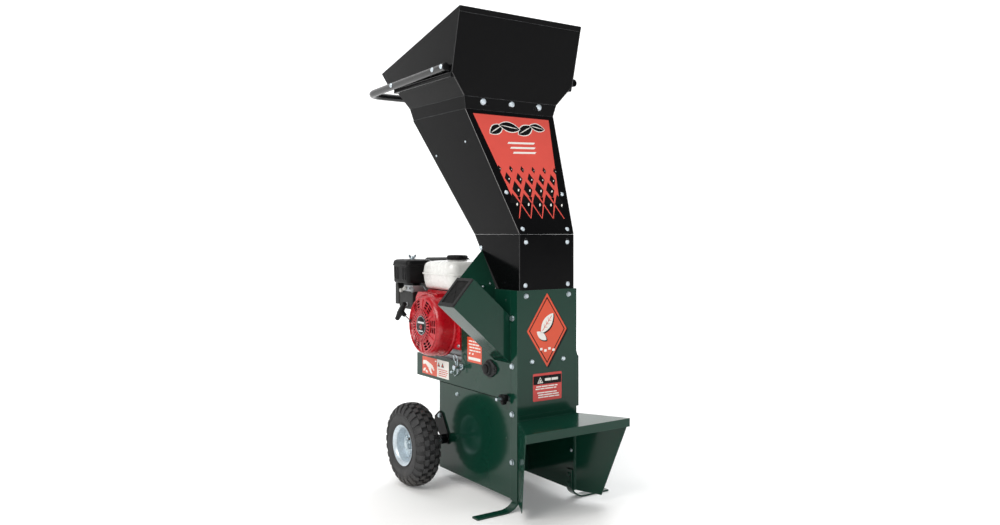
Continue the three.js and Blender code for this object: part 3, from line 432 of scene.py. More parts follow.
def soften(obj, width, segments=2, angle=35.0):
    """Rounds the edges by width millimetres."""
    obj.data.polygons.foreach_set("use_smooth", [True] * len(obj.data.polygons))
    flat = obj.modifiers.new("flat", "DECIMATE")
    flat.decimate_type, flat.angle_limit = "DISSOLVE", math.radians(0.6)
    edge = obj.modifiers.new("edge", "BEVEL")
    edge.width, edge.segments, edge.limit_method = width * 0.001, segments, "ANGLE"
    edge.angle_limit, edge.use_clamp_overlap = math.radians(angle), True
    even = obj.modifiers.new("even", "WEIGHTED_NORMAL")
    even.keep_sharp, even.weight = False, 60


# ---------- the CAD nodes that stay ----------
def keep(material, width, *names):
    for name in names:
        obj = NODES[name]
        obj.data.materials.clear()
        obj.data.materials.append(material)
        soften(obj, width)


keep(GREEN, 0.9, "base_shell", "discharge_baffle", "upper_side_left", "upper_side_right", "front_panel",
     "housing_back", "engine_deck", "feed_chute", "discharge_hood", "belt_guard")
keep(BLACK, 0.9, "neck_lower", "neck_upper", "hopper_collar", "hopper_funnel", "hopper_hood",
     "axle_bracket_left", "axle_bracket_right")
keep(ZINC, 0.5, "axle", "knob_stud")
keep(STEEL, 0.4, "rotor_shaft", "chip_blade_a", "chip_blade_b", "flail_set_a", "flail_set_b", "bed_knife",
     "crankshaft")
keep(IRON, 0.7, "rotor_disc", "flail_cage", "bearing_left", "bearing_right", "rotor_pulley", "engine_pulley",
     "flywheel")
keep(ALLOY, 0.8, "crankcase", "cylinder", "carburettor")
keep(RUBBER, 0.5, "v_belt")

# ---------- places in the design frame ----------
CRANK = Vector((0, 427, 500))
PULL = Vector((-0.42, 0.64, 0.64)).normalized()     # the way the starter rope is pulled
GRIP = Vector((-197, 544, 537))
WHEEL = Vector((229, 402, 130))     # middle of the right wheel
SHAFT = (142, 392)                  # the rotor's axis
ENGINE_SHAFT = (420, 494)           # the engine pulley's axis
LATCH = (0, 303, 375.5)             # the latch pin's axis
CLAMP = (0, 52, 318)                # the clamp knob's axis
AIR_NUT = (-124, 600, 0)
FILLER = (-40, 0, 420)
FUEL_CAP = Vector((-70, 392, 0))
LEVER_X = -150.4                    # face on which the two levers turn
RAIL_X, RAIL_FRONT = 241.6, 176     # middle and front end of the hand rail
BASE_X = 103.1                      # outer face of the lower side plates
BAND_LOW = 312                      # lower edge of the upper side plates
NECK_SLOPE = (188 - 2.8) / (1171 - 793)
PLATE_X = 106.2                     # outer face of the upper side plates
FRONT = ((0, 0, 0), X, Z)
LEFT = ((-PLATE_X, 0, 0), -Y, Z)
NECK = ((0, 2.8, 793), X, Vector((0, NECK_SLOPE, 1)).normalized())


def film(name, plane, outline, layer, material, slot="green_paint", holes=(), body="chassis"):
    """A printed film on a plane: each layer lies just over the one below."""
    piece = Piece(name, body, material, slot)
    piece.prism(*plane, outline, layer * 0.16 + 0.02, layer * 0.16 + 0.2, holes)
    return piece


def rect(x0, x1, y0, y1, radius=0.0):
    corners = [(x0, y0), (x1, y0), (x1, y1), (x0, y1)]
    return fillet(corners, radius, 4) if radius else corners


def backwards(outline):
    """An outline taken the other way round, as a hole needs."""
    return list(reversed(outline))


def gear(x, y, root, tip, teeth):
    out = []
    for k in range(teeth):
        for part, r in ((0.0, root), (0.28, root), (0.38, tip), (0.72, tip), (0.9, root)):
            a = math.tau * (k + part) / teeth
            out.append((x + r * math.cos(a), y + r * math.sin(a)))
    return out


def circle(x, y, r, count=28):
    return [(x + r * math.cos(math.tau * k / count), y + r * math.sin(math.tau * k / count))
            for k in range(count)]


def triangle(x, y, size, radius=2.0):
    return fillet([(x - size, y), (x + size, y), (x, y + size * 1.7)], radius, 4)


def many(name, plane, outlines, layer, material, slot="green_paint"):
    piece = Piece(name, "chassis", material, slot)
    for outline in outlines:
        piece.prism(*plane, outline, layer * 0.16 + 0.02, layer * 0.16 + 0.2)
    return piece.done()


def leaf(x, y, length, width, lean):
    """A pointed leaf outline."""
    out = []
    for side in (1, -1):
        for k in range(9):
            t = k / 9 if side > 0 else 1 - k / 9
            out.append((length * (t - 0.5), side * width * 0.5 * math.sin(math.pi * t) ** 0.8))
    c, s = math.cos(lean), math.sin(lean)
    return [(x + a * c - b * s, y + a * s + b * c) for a, b in out]


def bars(x0, x1, y, height, count, pitch, seed):
    """Rows of plain bars where a label would carry print."""
    chance = random.Random(seed)
    out = []
    for row in range(count):
        at = x0 + chance.uniform(0, 0.12) * (x1 - x0)
        end = x1 - chance.uniform(0, 0.16) * (x1 - x0)
        low = y - row * pitch
        while at < end - 2:
            stop = min(end, at + chance.uniform(0.12, 0.34) * (x1 - x0))
            out.append(rect(at, stop, low, low + height))
            at = stop + height * 0.6
    return out


def front_labels():
    cx, cz, w, h = -2, 514, 73, 108
    diamond = [(cx - w, cz), (cx, cz - h), (cx + w, cz), (cx, cz + h)]
    shadow = [(a + 5, b - 4) for a, b in diamond]
    film("badge_shadow", FRONT, fillet(shadow, 3), 0, INK).done()
    film("badge_field", FRONT, fillet(diamond, 3), 1, ORANGE).done()
    line = [(cx + (a - cx) * 0.9, cz + (b - cz) * 0.9) for a, b in diamond]
    inner = [(cx + (a - cx) * 0.85, cz + (b - cz) * 0.85) for a, b in diamond]
    film("badge_line", FRONT, line, 2, INK, holes=[inner]).done()
    many("badge_leaf_shadow", FRONT, [leaf(cx + 3, cz + 17, 74, 34, 0.9),
                                      leaf(cx - 17, cz - 19, 46, 22, 2.5)], 2, INK)
    many("badge_leaf", FRONT, [leaf(cx, cz + 20, 72, 32, 0.9), leaf(cx - 20, cz - 16, 44, 20, 2.5)], 3, PAPER)
    vein = [rect(-27, 27, -0.9, 0.9)] + [[(p, 0), (p + 1.6, 0), (p + 8, 8), (p + 6.6, 8)]
                                         for p in (-16, -4, 8)]
    vein += [[(p, 0), (p + 1.6, 0), (p + 8, -8), (p + 6.6, -8)] for p in (-16, -4, 8)]
    c, s = math.cos(0.9), math.sin(0.9)
    turned = [[(cx + a * c - b * s, cz + 20 + a * s + b * c) for a, b in o] for o in vein]
    many("badge_veins", FRONT, turned, 4, ORANGE)
    chips = [rect(cx - 26 + 15 * k, cx - 17 + 15 * k, cz - 58 - 5 * (k % 2), cz - 51 - 5 * (k % 2), 1.4)
             for k in range(4)]
    many("badge_chips", FRONT, chips, 3, PAPER)

    film("notice_field", FRONT, rect(-53, 52, 309, 389, 4), 0, SIGNAL).done()
    film("notice_band", FRONT, rect(-51.5, 50.5, 357, 382, 1), 1, INK).done()
    film("notice_sign", FRONT, triangle(-27, 360.5, 10.5, 1.5), 2, PAPER,
         holes=[backwards(triangle(-27, 363, 7.2, 1))]).done()
    film("notice_gear", FRONT, gear(-27, 366.6, 2.2, 3.4, 8), 2, PAPER).done()
    many("notice_title", FRONT, [rect(-10, 12, 366, 373.5, 1), rect(14.5, 38, 366, 373.5, 1)], 2, PAPER)
    many("notice_lines", FRONT, bars(-44, 44, 349, 3.2, 2, 6.6, 3) + bars(-44, 44, 331, 3.2, 3, 6.6, 5), 1,
         PAPER)


def side_labels():
    y0, y1 = -560, -385
    film("band_red", LEFT, rect(y0, -462, 322, 380, 2), 0, ORANGE).done()
    film("band_white", LEFT, rect(-461.5, y1, 322, 380, 2), 0, PAPER).done()
    arm = fillet([(-556, 352), (-538, 356), (-520, 345), (-500, 349), (-484, 338), (-478, 341), (-492, 356),
                  (-512, 362), (-534, 368), (-556, 366)], 4, 4)
    hand = fillet([(-520, 345), (-506, 330), (-494, 326), (-492, 330), (-500, 338), (-498, 349)], 3, 4)
    many("band_branch", LEFT, [arm, hand], 1, PAPER)
    many("band_leaves", LEFT, [leaf(-546, 336, 22, 9, 0.5), leaf(-530, 331, 18, 8, -0.3),
                               leaf(-470, 372, 12, 5, 0.2)],
         1, PAPER)
    signs = [triangle(-450, 357, 9, 1.5), triangle(-425, 357, 9, 1.5)]
    many("band_signs", LEFT, signs, 1, INK)
    many("band_gears", LEFT, [gear(-450, 362.2, 2.6, 4.2, 8), circle(-425, 362.2, 3.4)], 2, ORANGE)
    many("band_lines", LEFT, bars(-456, -391, 347, 3.0, 4, 6.4, 9), 1, SIGNAL)

    plate = rect(-272, -190, 397, 474, 2)
    film("advice_field", LEFT, plate, 0, ORANGE).done()
    many("advice_lines", LEFT, bars(-266, -196, 460, 4.2, 4, 9.5, 12) + [rect(-266, -196, 404, 413, 1)], 1,
         PAPER)
    many("advice_marks", LEFT, [leaf(-258, 423.5, 12, 6, 0.4), leaf(-240, 423.5, 12, 6, 0.4)], 1, PAPER)


def neck_artwork():
    stretch = math.hypot(1, NECK_SLOPE)
    up = lambda z: (z - 793) * stretch
    half = lambda z: 84 + (143 - 84) * (z - 888) / (1158 - 888)
    low, high = 904, 1158
    field = [(-half(low), up(low)), (half(low), up(low)), (half(high), up(high)), (-half(high), up(high))]
    film("art_field", NECK, fillet(field, 2), 0, CORAL, "black_paint").done()
    pitch, middle, tip = 41.5, 884, 840
    black, light, lines = [], [], []
    for z, scale, shift in ((988, 0.32, 0.5), (959, 0.54, 0.0), (926, 0.76, 0.5), (middle, 0.9, 0.0)):
        wide, tall = 20.7 * scale, 38 * scale
        for k in range(-4, 5):
            x = (k + shift) * pitch
            if abs(x) > half(z) + 6:
                continue
            drop = min(tall, up(z) - up(low) - 0.6)
            cut = wide * (1 - drop / tall) if drop > 0 else wide
            floor = up(z) - max(drop, 0)
            outline = [(x, up(z) + tall), (x - wide, up(z)), (x - cut, floor), (x + cut, floor),
                       (x + wide, up(z))]
            if drop <= 0:
                outline = [(x, up(z) + tall), (x - wide, up(z) + 0.6), (x + wide, up(z) + 0.6)]
            elif cut < 0.5:
                outline = [(x, up(z) + tall), (x - wide, up(z)), (x, floor), (x + wide, up(z))]
            black.append(outline)
            light.append(leaf(x + wide * 0.34, up(z) - tall * 0.10, wide * 0.62,
                              wide * 0.30, 1.1))
    for k in range(-2, 3):
        for side in (-1, 1):
            knots = [(k * pitch, tip), ((k + side * 0.5) * pitch, middle),
                     ((k + side * 0.24) * pitch, low + 2)]
            for (x0, z0), (x1, z1), w0, w1 in ((knots[0], knots[1], 1.4, 2.2),
                                               (knots[1], knots[2], 2.2, 3.0)):
                foot, head = Vector((x0, up(z0))), Vector((x1, up(z1)))
                if max(abs(x0), abs(x1)) > half(middle) + 3:
                    continue
                across = Vector((head.y - foot.y, foot.x - head.x)).normalized()
                lines.append([tuple(q) for q in (foot - across * w0, foot + across * w0,
                                                 head + across * w1, head - across * w1)])
    many("art_diamonds", NECK, black, 1, INK, "black_paint")
    many("art_glints", NECK, light, 2, PAPER, "black_paint")
    many("art_lattice", NECK, lines, 1, CORAL, "black_paint")
    row = [(-74, 1112, 62, 30, 0.55), (-22, 1122, 74, 34, -0.15), (36, 1116, 70, 32, 0.5),
           (86, 1128, 54, 26, -0.2)]
    for name, layer, grow, material in (("edge", 1, 6, PAPER), ("body", 2, 0, INK)):
        shapes = [leaf(x, up(z), length + grow, width + grow, lean) for x, z, length, width, lean in row]
        for k, shape in enumerate(shapes):
            film(f"art_leaf_{name}_{k}", NECK, shape, layer + 2 * (k % 2), material, "black_paint").done()
    veins = [leaf(x, up(z), length - 8, 3.0, lean) for x, z, length, width, lean in row]
    many("art_leaf_vein", NECK, veins, 5, PAPER, "black_paint")
    strokes = []
    for k in range(3):
        v = up(1070) - 17 * k
        strokes.append([(-48 + 5 * k, v - 3), (52 - 3 * k, v + 1), (60 - 3 * k, v + 8), (-42 + 5 * k, v + 4)])
    many("art_strokes", NECK, [fillet(stroke, 1.6) for stroke in strokes], 1, PAPER, "black_paint")


# ---------- fasteners ----------
def fasteners():
    zinc = Piece("panel_bolts", "chassis", ZINC, "zinc")
    for s in (-1, 1):
        for z in (137.8, 275.7, 413.6, 551.5):
            zinc.bolt((s * 109, 24, z), (s, 0, 0), 13.5, 5.4, 8.6, turn=0.3 + z)
        zinc.bolt((s * 78, 0, 615.6), (0, -1, 0), 12, 5.0, 7.6, turn=0.7)
        zinc.bolt((s * 57.5, 0, 425.9), (0, -1, 0), 11, 4.6, 7.0, turn=0.2)
        zinc.bolt((s * (BASE_X + 5.1), 440, 198), (s, 0, 0), 12.5, 5.0, 8.0)
    zinc.done()
    pale = Piece("neck_bolts", "chassis", GALVANISED, "zinc")
    lean = Vector((0, -1, NECK_SLOPE)).normalized()
    for s in (-1, 1):
        for z, x in ((646, 78), (771, 76)):
            pale.bolt((s * x, 2.8, z), (0, -1, 0), 11, 4.8, 6.8, dome=True)
        for z, x in ((809, 82), (916, 103)):
            pale.bolt((s * x, 2.8 + NECK_SLOPE * (z - 793), z), lean, 10.5, 4.6, 6.6, dome=True)
        for y, z in ((215, 1075), (399, 1046)):
            x = 99 + (166 - 99) * (z - 793) / (1171 - 793)
            pale.bolt((s * x, y, z), (s, 0, -0.177), 6, 2.6, 3.6, dome=True)
        pale.bolt((s * 99.2, 205, 752), (s, 0, 0), 11, 5, 7, dome=True)
    for i in (-1, 0, 1):
        pale.bolt((i * 105, 183.4, 1196), (0, -1, 0), 19, 6.5, 10.6, dome=True)
    pale.done()
    screws = Piece("chute_screws", "chassis", ZINC, "zinc")
    for x, z in ((-125, 648), (-150, 640)):
        screws.bolt((x, 116, z), (0, -1, 0), 6, 2.6, 3.4, dome=True)
    screws.done()


def seams():
    """Weld beads and rolled edges that the hopper and the body show, and a painted shadow strip under the
    edge of the upper side plates.
    """
    beads = Piece("hopper_beads", "chassis", BEAD, "black_paint")
    for s in (-1, 1):
        beads.tube([(s * 226.4, 166.6, 1273), (s * 226.4, 121.8, 1454.8)], 1.7, 8)
        beads.tube([(s * 174, 181.4, 1210), (s * 226.4, 166.4, 1272)], 1.7, 8)
        beads.tube([(s * 226.4, 122, 1455.2), (s * 226.4, 623, 1335.8)], 1.3, 8)
        beads.tube([(s * 226.6, 623.5, 1336), (s * 226.6, 582, 1295.6), (s * 226.6, 531, 1272)], 1.3, 8)
        for z in (1257.8, 1270.0):
            beads.tube([(s * 229.0, 174, z), (s * 229.0, 531, z)], 1.2, 8)
        beads.tube([(s * 99, 2.9, 795), (s * 165.8, 188, 1170)], 1.3, 8)
        beads.tube([(s * 99, 3.0, 600), (s * 99, 3.0, 792)], 1.2, 8)
        beads.tube([(s * 99, 240, 795), (s * 166, 514, 1170)], 1.3, 8)
    beads.tube([(-226, 121.6, 1455.0), (226, 121.6, 1455.0)], 1.5, 8)
    beads.done()
    # A near-black strip where the upper side plates step out over the base: painted shadow of the step.
    gap = Piece("painted_gap_shadow", "chassis", PAINTED_SHADE, "black_plastic")
    for s in (-1, 1):
        x0, x1 = sorted((s * 102.8, s * 103.5))
        gap.box((x0, 8, 308.6), (x1, 448, 311.7))
    gap.done()


def tyre(side, name):
    """A pneumatic tyre with rows of blocks across its crown and ribs round its walls."""
    centre = Vector((side * WHEEL.x, WHEEL.y, WHEEL.z))
    piece = Piece(f"tyre_{name}_tread", f"wheel_{name}", TYRE, "tyre_rubber")
    half = [(57, 24), (57.4, 29), (60, 32.5), (66, 35.5), (76, 39.4), (86, 40.6), (94, 40.4), (101, 38.8),
            (108, 35.4), (114, 30), (118, 22.5), (120.4, 12)]
    outside = [(r, -h) for r, h in half] + [(121, 0)] + [(r, h) for r, h in reversed(half)]
    inside = [(r - 3.4, h * 0.9) for r, h in reversed(outside) if r > 60]
    piece.lathe(centre, X, outside + inside + [outside[0]], 96)
    # Rings moulded on the walls.
    for s in (-1, 1):
        for r, h in ((63, 34.4), (69, 37.2), (98, 41.2)):
            piece.lathe(centre, X, [(r - 1.1, s * (h - 1)), (r - 0.6, s * (h + 0.65)),
                                    (r + 0.6, s * (h + 0.65)), (r + 1.1, s * (h - 1)),
                                    (r - 1.1, s * (h - 1))], 96)
    profile = {0: (120.8, 130.0), 10: (120.4, 129.8), 20: (118.4, 128.2), 30: (113.4, 123.6),
               37: (104.8, 115.6), 41: (94.5, 103.4)}
    keys = sorted(profile)

    def shell(h, top):
        a = abs(h)
        for k0, k1 in zip(keys, keys[1:]):
            if a <= k1:
                t = (a - k0) / (k1 - k0)
                low, high = (profile[k][1 if top else 0] for k in (k0, k1))
                return low + (high - low) * t
        return profile[keys[-1]][1 if top else 0]

    count = 27
    lugs = [(0.0, [(-7, 0), (7, 0)], 0.58), (0.5, [(10.5, 0), (22.5, 0.06)], 0.6),
            (0.5, [(-10.5, 0), (-22.5, 0.06)], 0.6), (0.0, [(26, 0.0), (34.5, 0.05), (40.4, 0.05)], 0.56),
            (0.0, [(-26, 0.0), (-34.5, 0.05), (-40.4, 0.05)], 0.56)]
    pitch = math.tau / count
    for k in range(count):
        for phase, spans, fill in lugs:
            rings = []
            for h, slant in spans:
                mid = pitch * (k + phase + slant)
                reach = pitch * fill / 2
                low, high = shell(h, False) - 1.6, shell(h, True)
                ring = []
                for r, a in ((low, -reach * 1.12), (high - 0.8, -reach), (high, -reach * 0.86),
                             (high, reach * 0.86), (high - 0.8, reach), (low, reach * 1.12)):
                    angle = mid + a
                    ring.append(centre + Vector((h, r * math.cos(angle), r * math.sin(angle))))
                rings.append(ring)
            piece.rings(rings)
    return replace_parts(piece.done(angle=30), f"tyre_{name}")


def rim(side, name):
    """A pressed two-half rim with a hub, four bolts and a valve."""
    centre = Vector((side * WHEEL.x, WHEEL.y, WHEEL.z))
    piece = Piece(f"rim_{name}_pressing", f"wheel_{name}", GALVANISED, "zinc")
    for f in (-1, 1):
        lip = fillet([(52.6, f * 3), (52.6, f * 29), (56, f * 33), (61, f * 37.2), (63.6, f * 38.6),
                      (63.9, f * 36.4), (61.8, f * 35.0), (57.0, f * 31.0), (54.4, f * 28.0),
                      (54.4, f * 3)], 1.2, 3)
        piece.turned_ring(centre, X, lip, 96)
    web = fillet([(15.5, side * 12), (27, side * 12), (33, side * 9.0), (38, side * 3.2), (46, side * 2.0),
                  (53.5, side * 3.4), (53.5, side * 0.8), (46, side * -0.6), (37, side * 0.6),
                  (31.5, side * 6.6), (26, side * 9.4), (15.5, side * 9.4)], 1.6, 3)
    piece.turned_ring(centre, X, web, 96)
    cut = Piece("web_cut", f"wheel_{name}", GALVANISED)
    for k in range(4):
        a = math.tau * k / 4 + 0.35
        cut.lathe(centre + Vector((0, 46 * math.cos(a), 46 * math.sin(a))), X,
                  [(0, -12), (3.6, -12), (3.6, 16), (0, 16)], 20)
    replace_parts(piece.done(carve=cut, angle=30), f"rim_{name}")
    hub = Piece(f"hub_{name}_parts", f"wheel_{name}", ZINC, "zinc")
    tube = fillet([(8.4, -20), (14.5, -20), (15.6, -18.6), (15.6, 18.6), (14.5, 20), (8.4, 20)], 0.6, 2)
    hub.turned_ring(centre, X, tube, 48)
    for k in range(4):
        a = math.tau * k / 4 + 0.35 + math.pi / 4
        at = centre + Vector((side * 10.5, 24.5 * math.cos(a), 24.5 * math.sin(a)))
        hub.bolt(at, (side, 0, 0), 9.5, 6.2, 6.2, turn=a)
    hub.done(angle=30)
    a = 2.4
    stem = centre + Vector((side * 6, 43 * math.cos(a), 43 * math.sin(a)))
    valve = Piece(f"valve_{name}", f"wheel_{name}", RUBBER, "tyre_rubber")
    way = Vector((side * 1.0, -0.35 * math.cos(a), -0.35 * math.sin(a))).normalized()
    valve.lathe(stem - way * 5, way, [(0, 0), (5.2, 0), (5.4, 5), (4.0, 8), (3.6, 20), (3.0, 21), (0, 21)],
                24)
    valve.lathe(stem - way * 5, way, [(0, 20), (4.1, 20.4), (4.1, 28.6), (3.4, 29.6), (0, 29.6)], 16)
    valve.done(angle=30)


def hub_caps():
    """Split pins on the ends of the axle."""
    piece = Piece("axle_clips", "chassis", ZINC, "zinc")
    for s in (-1, 1):
        x = s * 250.5
        piece.tube([(x, 402, 143), (x, 402, 118), (x, 405.5, 112)], 1.2, 8)
        piece.tube(smooth_path([(x, 401, 143), (x, 404, 146.5), (x, 406.4, 142), (x, 404.4, 136),
                                (x, 403.0, 118)], 6), 1.2, 8)
    piece.done()


def hand_rail():
    x, back = RAIL_X, 700
    level = lambda y: 1287 - 0.026 * (y - 150)
    line = [(-x, RAIL_FRONT), (-x, back), (x, back), (x, RAIL_FRONT)]
    outline = fillet(line, [0, 52, 52, 0], 12, closed=False)
    path = [(a, b, level(b)) for a, b in outline]
    rail = Piece("push_rail", "chassis", BEAD, "black_paint")
    rail.tube(path, 12, 28)
    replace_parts(rail.done(angle=40), "push_handle")
    clamps = Piece("rail_clamps", "chassis", BLACK, "black_paint")
    ends = Piece("rail_bolts", "chassis", GALVANISED, "zinc")
    for s in (-1, 1):
        for y in (184, 236, 506):
            z = level(y)
            clamps.lathe((s * 228, y, z), (s, 0, 0), [(0, -1), (9, -1), (9, 3.2), (0, 3.2)], 24)
            ends.bolt((s * 253.2, y, z), (s, 0, 0), 12, 4.4, 7.2, dome=True)
        cap = [(0, -2), (12.0, -2), (12.3, 0), (12.3, 1.6), (11, 3.0), (0, 3.2)]
        clamps.lathe((s * x, RAIL_FRONT, level(RAIL_FRONT)), (0, -1, 0), cap, 32)
    clamps.done(angle=30)
    ends.done(angle=30)


def feet():
    for s, name in ((-1, "left"), (1, "right")):
        line = [(104, 97.1), (24, 97.1), (2.6, 128), (2.6, 240)]
        centre = fillet(line, [0, 34, 70, 0], 14, closed=False)
        piece = Piece(f"skid_{name}", "chassis", GREEN, "green_paint")
        pts = [Vector((s * b, 18.5, a)) for a, b in centre if a <= 88.1 or a == 104]
        pts[0].z = 88
        rings = []
        for i, p in enumerate(pts):
            before, after = pts[max(i - 1, 0)], pts[min(i + 1, len(pts) - 1)]
            t = (after - before).normalized()
            n = t.cross(Y).normalized() * 2.5
            w, e = 14.3, 0.7
            ring = [p + n + Y * (-w + e), p + n + Y * (w - e), p + n * 0.75 + Y * w, p - n * 0.75 + Y * w,
                    p - n + Y * (w - e), p - n + Y * (-w + e), p - n * 0.75 - Y * w, p + n * 0.75 - Y * w]
            rings.append(ring)
        piece.rings(rings)
        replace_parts(piece.done(angle=40), f"foot_{name}")
    bolts = Piece("skid_bolts", "chassis", GREEN, "green_paint")
    for s in (-1, 1):
        for z in (44, 72):
            bolts.bolt((s * 94.2, 18.5, z), (-s, 0, 0), 10, 4.2, 6.6)
    bolts.done()


# ---------- the engine ----------
def rounded_ring(x0, x1, y0, y1, z, radius, inset=0.0, steps=8):
    """One level of a box with rounded corners."""
    x0, x1, y0, y1 = x0 + inset, x1 - inset, y0 + inset, y1 - inset
    r = max(radius - inset * 0.5, 2.0)
    out = []
    for cx, cy, start in ((x1 - r, y1 - r, 0), (x0 + r, y1 - r, 90), (x0 + r, y0 + r, 180),
                          (x1 - r, y0 + r, 270)):
        for k in range(steps + 1):
            a = math.radians(start + 90 * k / steps)
            out.append(Vector((cx + r * math.cos(a), cy + r * math.sin(a), z)))
    return out


def knurled(centre, axes, levels, count, step, over, depth):
    """Rings of a knob: levels are (place along the axis, radius), grooved where wider than over."""
    u, v, w = axes
    rings = []
    for height, r in levels:
        ring = []
        for k in range(count):
            a = math.tau * k / count
            reach = r - (depth if k % step < step / 2 and r > over else 0)
            ring.append(Vector(centre) + w * height + u * (reach * math.cos(a)) + v * (reach * math.sin(a)))
        rings.append(ring)
    return rings


def arc_slot(r0, r1, a0, a1, steps=10):
    """A curved slot about the middle, in degrees, with rounded ends."""
    out = []
    for r, start, end in ((r1, a0, a1), (r0, a1, a0)):
        for k in range(steps + 1):
            a = math.radians(start + (end - start) * k / steps)
            out.append((r * math.cos(a), r * math.sin(a)))
    return fillet(out, (r1 - r0) * 0.5, 3)


def cowl():
    """The fan cowl: a domed starter cover with vents, over a housing that reaches back to the engine."""
    outer = [(0, -184.5), (34, -184.5), (36, -187.6), (50, -187.6), (54, -184.2), (83, -179.6), (90, -179.0),
             (96.5, -172), (100, -160), (101.2, -122), (104, -119), (104, -110.2)]
    inner = [(98, -110.2), (97.8, -120), (97.4, -158), (94.6, -169), (88.6, -176.4), (83, -177.7),
             (53.4, -182.4), (50, -185.6), (36.4, -185.6), (34, -182.4), (0, -182.4)]
    profile = fillet(outer, [0, 1, 1.5, 1.5, 3, 4, 6, 8, 8, 3, 1.5, 0], 4, closed=False) + inner
    cover = Piece("starter_cover", "chassis", RED, "engine_red")
    cover.lathe(CRANK, X, profile, 128)
    cut = Piece("cover_cut", "chassis", RED)
    plane = (CRANK, -Y, Z)                # its normal is -X
    for k in range(30):
        a = math.tau * k / 30
        spoke = [(36.8, -1.75), (53.0, -2.6), (53.0, 2.6), (36.8, 1.75)]
        c, s = math.cos(a), math.sin(a)
        cut.prism(*plane, fillet([(p * c - q * s, p * s + q * c) for p, q in spoke], 1.2, 3), 150, 200)
    for middle in (-62, 0, 58, 120, 180, 240):
        for ring, (r0, r1) in enumerate(((57.8, 64.2), (66.6, 73.2), (75.6, 82.0))):
            for part in (-1, 1):
                a0, a1 = sorted((middle + part * 1.6, middle + part * (17.5 - ring * 0.8)))
                cut.prism(*plane, arc_slot(r0, r1, a0, a1), 150, 200)
    cut.box((-300, 0, 300), (300, 900, 388.3))
    cut.lathe(GRIP - PULL * 20, PULL, [(0, -90), (5.4, -90), (5.4, 2), (0, 2)], 20)
    cover = cover.done(carve=cut, angle=24)
    # A near-black sheet just inside the cover, seen through its vents: painted shade of the cowl's inside.
    vent_shade = Piece("starter_vent_shade", "chassis", PAINTED_SHADE, "black_plastic")
    skin = [(36, -179.0), (54, -178.8), (85, -173.0), (91, -167), (91, -166), (84.6, -171.8), (54, -177.6),
            (36, -177.8)]
    vent_shade.turned_ring(CRANK, X, skin, 64)
    vent_shade.done()
    raised = Piece("starter_ribs", "chassis", RED, "engine_red")
    ring_profile = [(54.4, -184.5), (54.8, -186.2), (56.2, -186.0), (56.6, -184), (56.0, -182.5),
                    (54.6, -182.5)]
    raised.turned_ring(CRANK, X, ring_profile, 128)
    ring_profile = [(84.5, -180.5), (85.4, -182.0), (88.6, -181.6), (90, -179.6), (88, -178), (85, -178)]
    raised.turned_ring(CRANK, X, ring_profile, 128)
    for k in range(6):
        a = math.radians(-31 + 60 * k)
        u = Vector((0, -math.cos(a), math.sin(a)))
        v = X.cross(u).normalized()
        base = CRANK + u * 70.5
        rings = []
        for t, h in ((-14, -184.8), (-11, -185.0), (11, -182.0), (15, -180.8)):
            mid = base + u * t
            rings.append([Vector((h, *(mid + v * w)[1:]))
                          if depth == 0 else Vector((h + 5, *(mid + v * w * 1.3)[1:]))
                          for depth, w in ((0, -3.2), (0, 3.2), (1, 3.2), (1, -3.2))])
        raised.rings(rings)
    raised.done(angle=30)

    shoulder = Piece("cowl_shoulder", "chassis", RED, "engine_red")
    arc = [(-CRANK.y - 100.6 * math.cos(math.radians(a)), CRANK.z + 100.6 * math.sin(math.radians(a)))
           for a in range(-17, 114, 5)]
    edge = [(-388, 603), (-512, 603), (-529, 584), (-529, 480)]
    shoulder.prism((0, 0, 0), -Y, Z, arc + edge, 78.3, 149.7)
    shoulder.done(bevel=3.0, segments=4, angle=30)

    tray = Piece("fan_housing", "chassis", RED, "engine_red")
    outline = fillet([(-520, 430), (-309, 430), (-309, 560), (-360, 609), (-520, 609)], [6, 6, 26, 30, 16], 8)
    window = fillet([(-516, 425), (-313, 425), (-313, 558), (-361, 605), (-516, 605)], [3, 3, 24, 28, 13], 8)
    tray.prism((0, 0, 0), -Y, Z, outline, 103.0, 111.0, holes=[circle(-CRANK.y, CRANK.z, 96, 96)])
    tray.prism((0, 0, 0), -Y, Z, outline, 74.4, 103.4, holes=[backwards(window)])
    tray.prism((0, 0, 0), -Y, Z, outline, 74.4, 77.6, holes=[circle(-CRANK.y, CRANK.z, 30, 48)])
    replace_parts(tray.done(bevel=1.2, segments=3), "fan_cowl")
    switch = Piece("switch_box", "chassis", PLASTIC, "black_plastic")
    rings = [[Vector((a, y, b)) for a, b in rect(-102.6 + e, -81 - e, 445 + e, 479 - e, 3)]
             for y, e in ((311, 0), (305, 0), (304, 0.8), (303.9, 2))]
    switch.rings(rings)
    switch.done(angle=30)

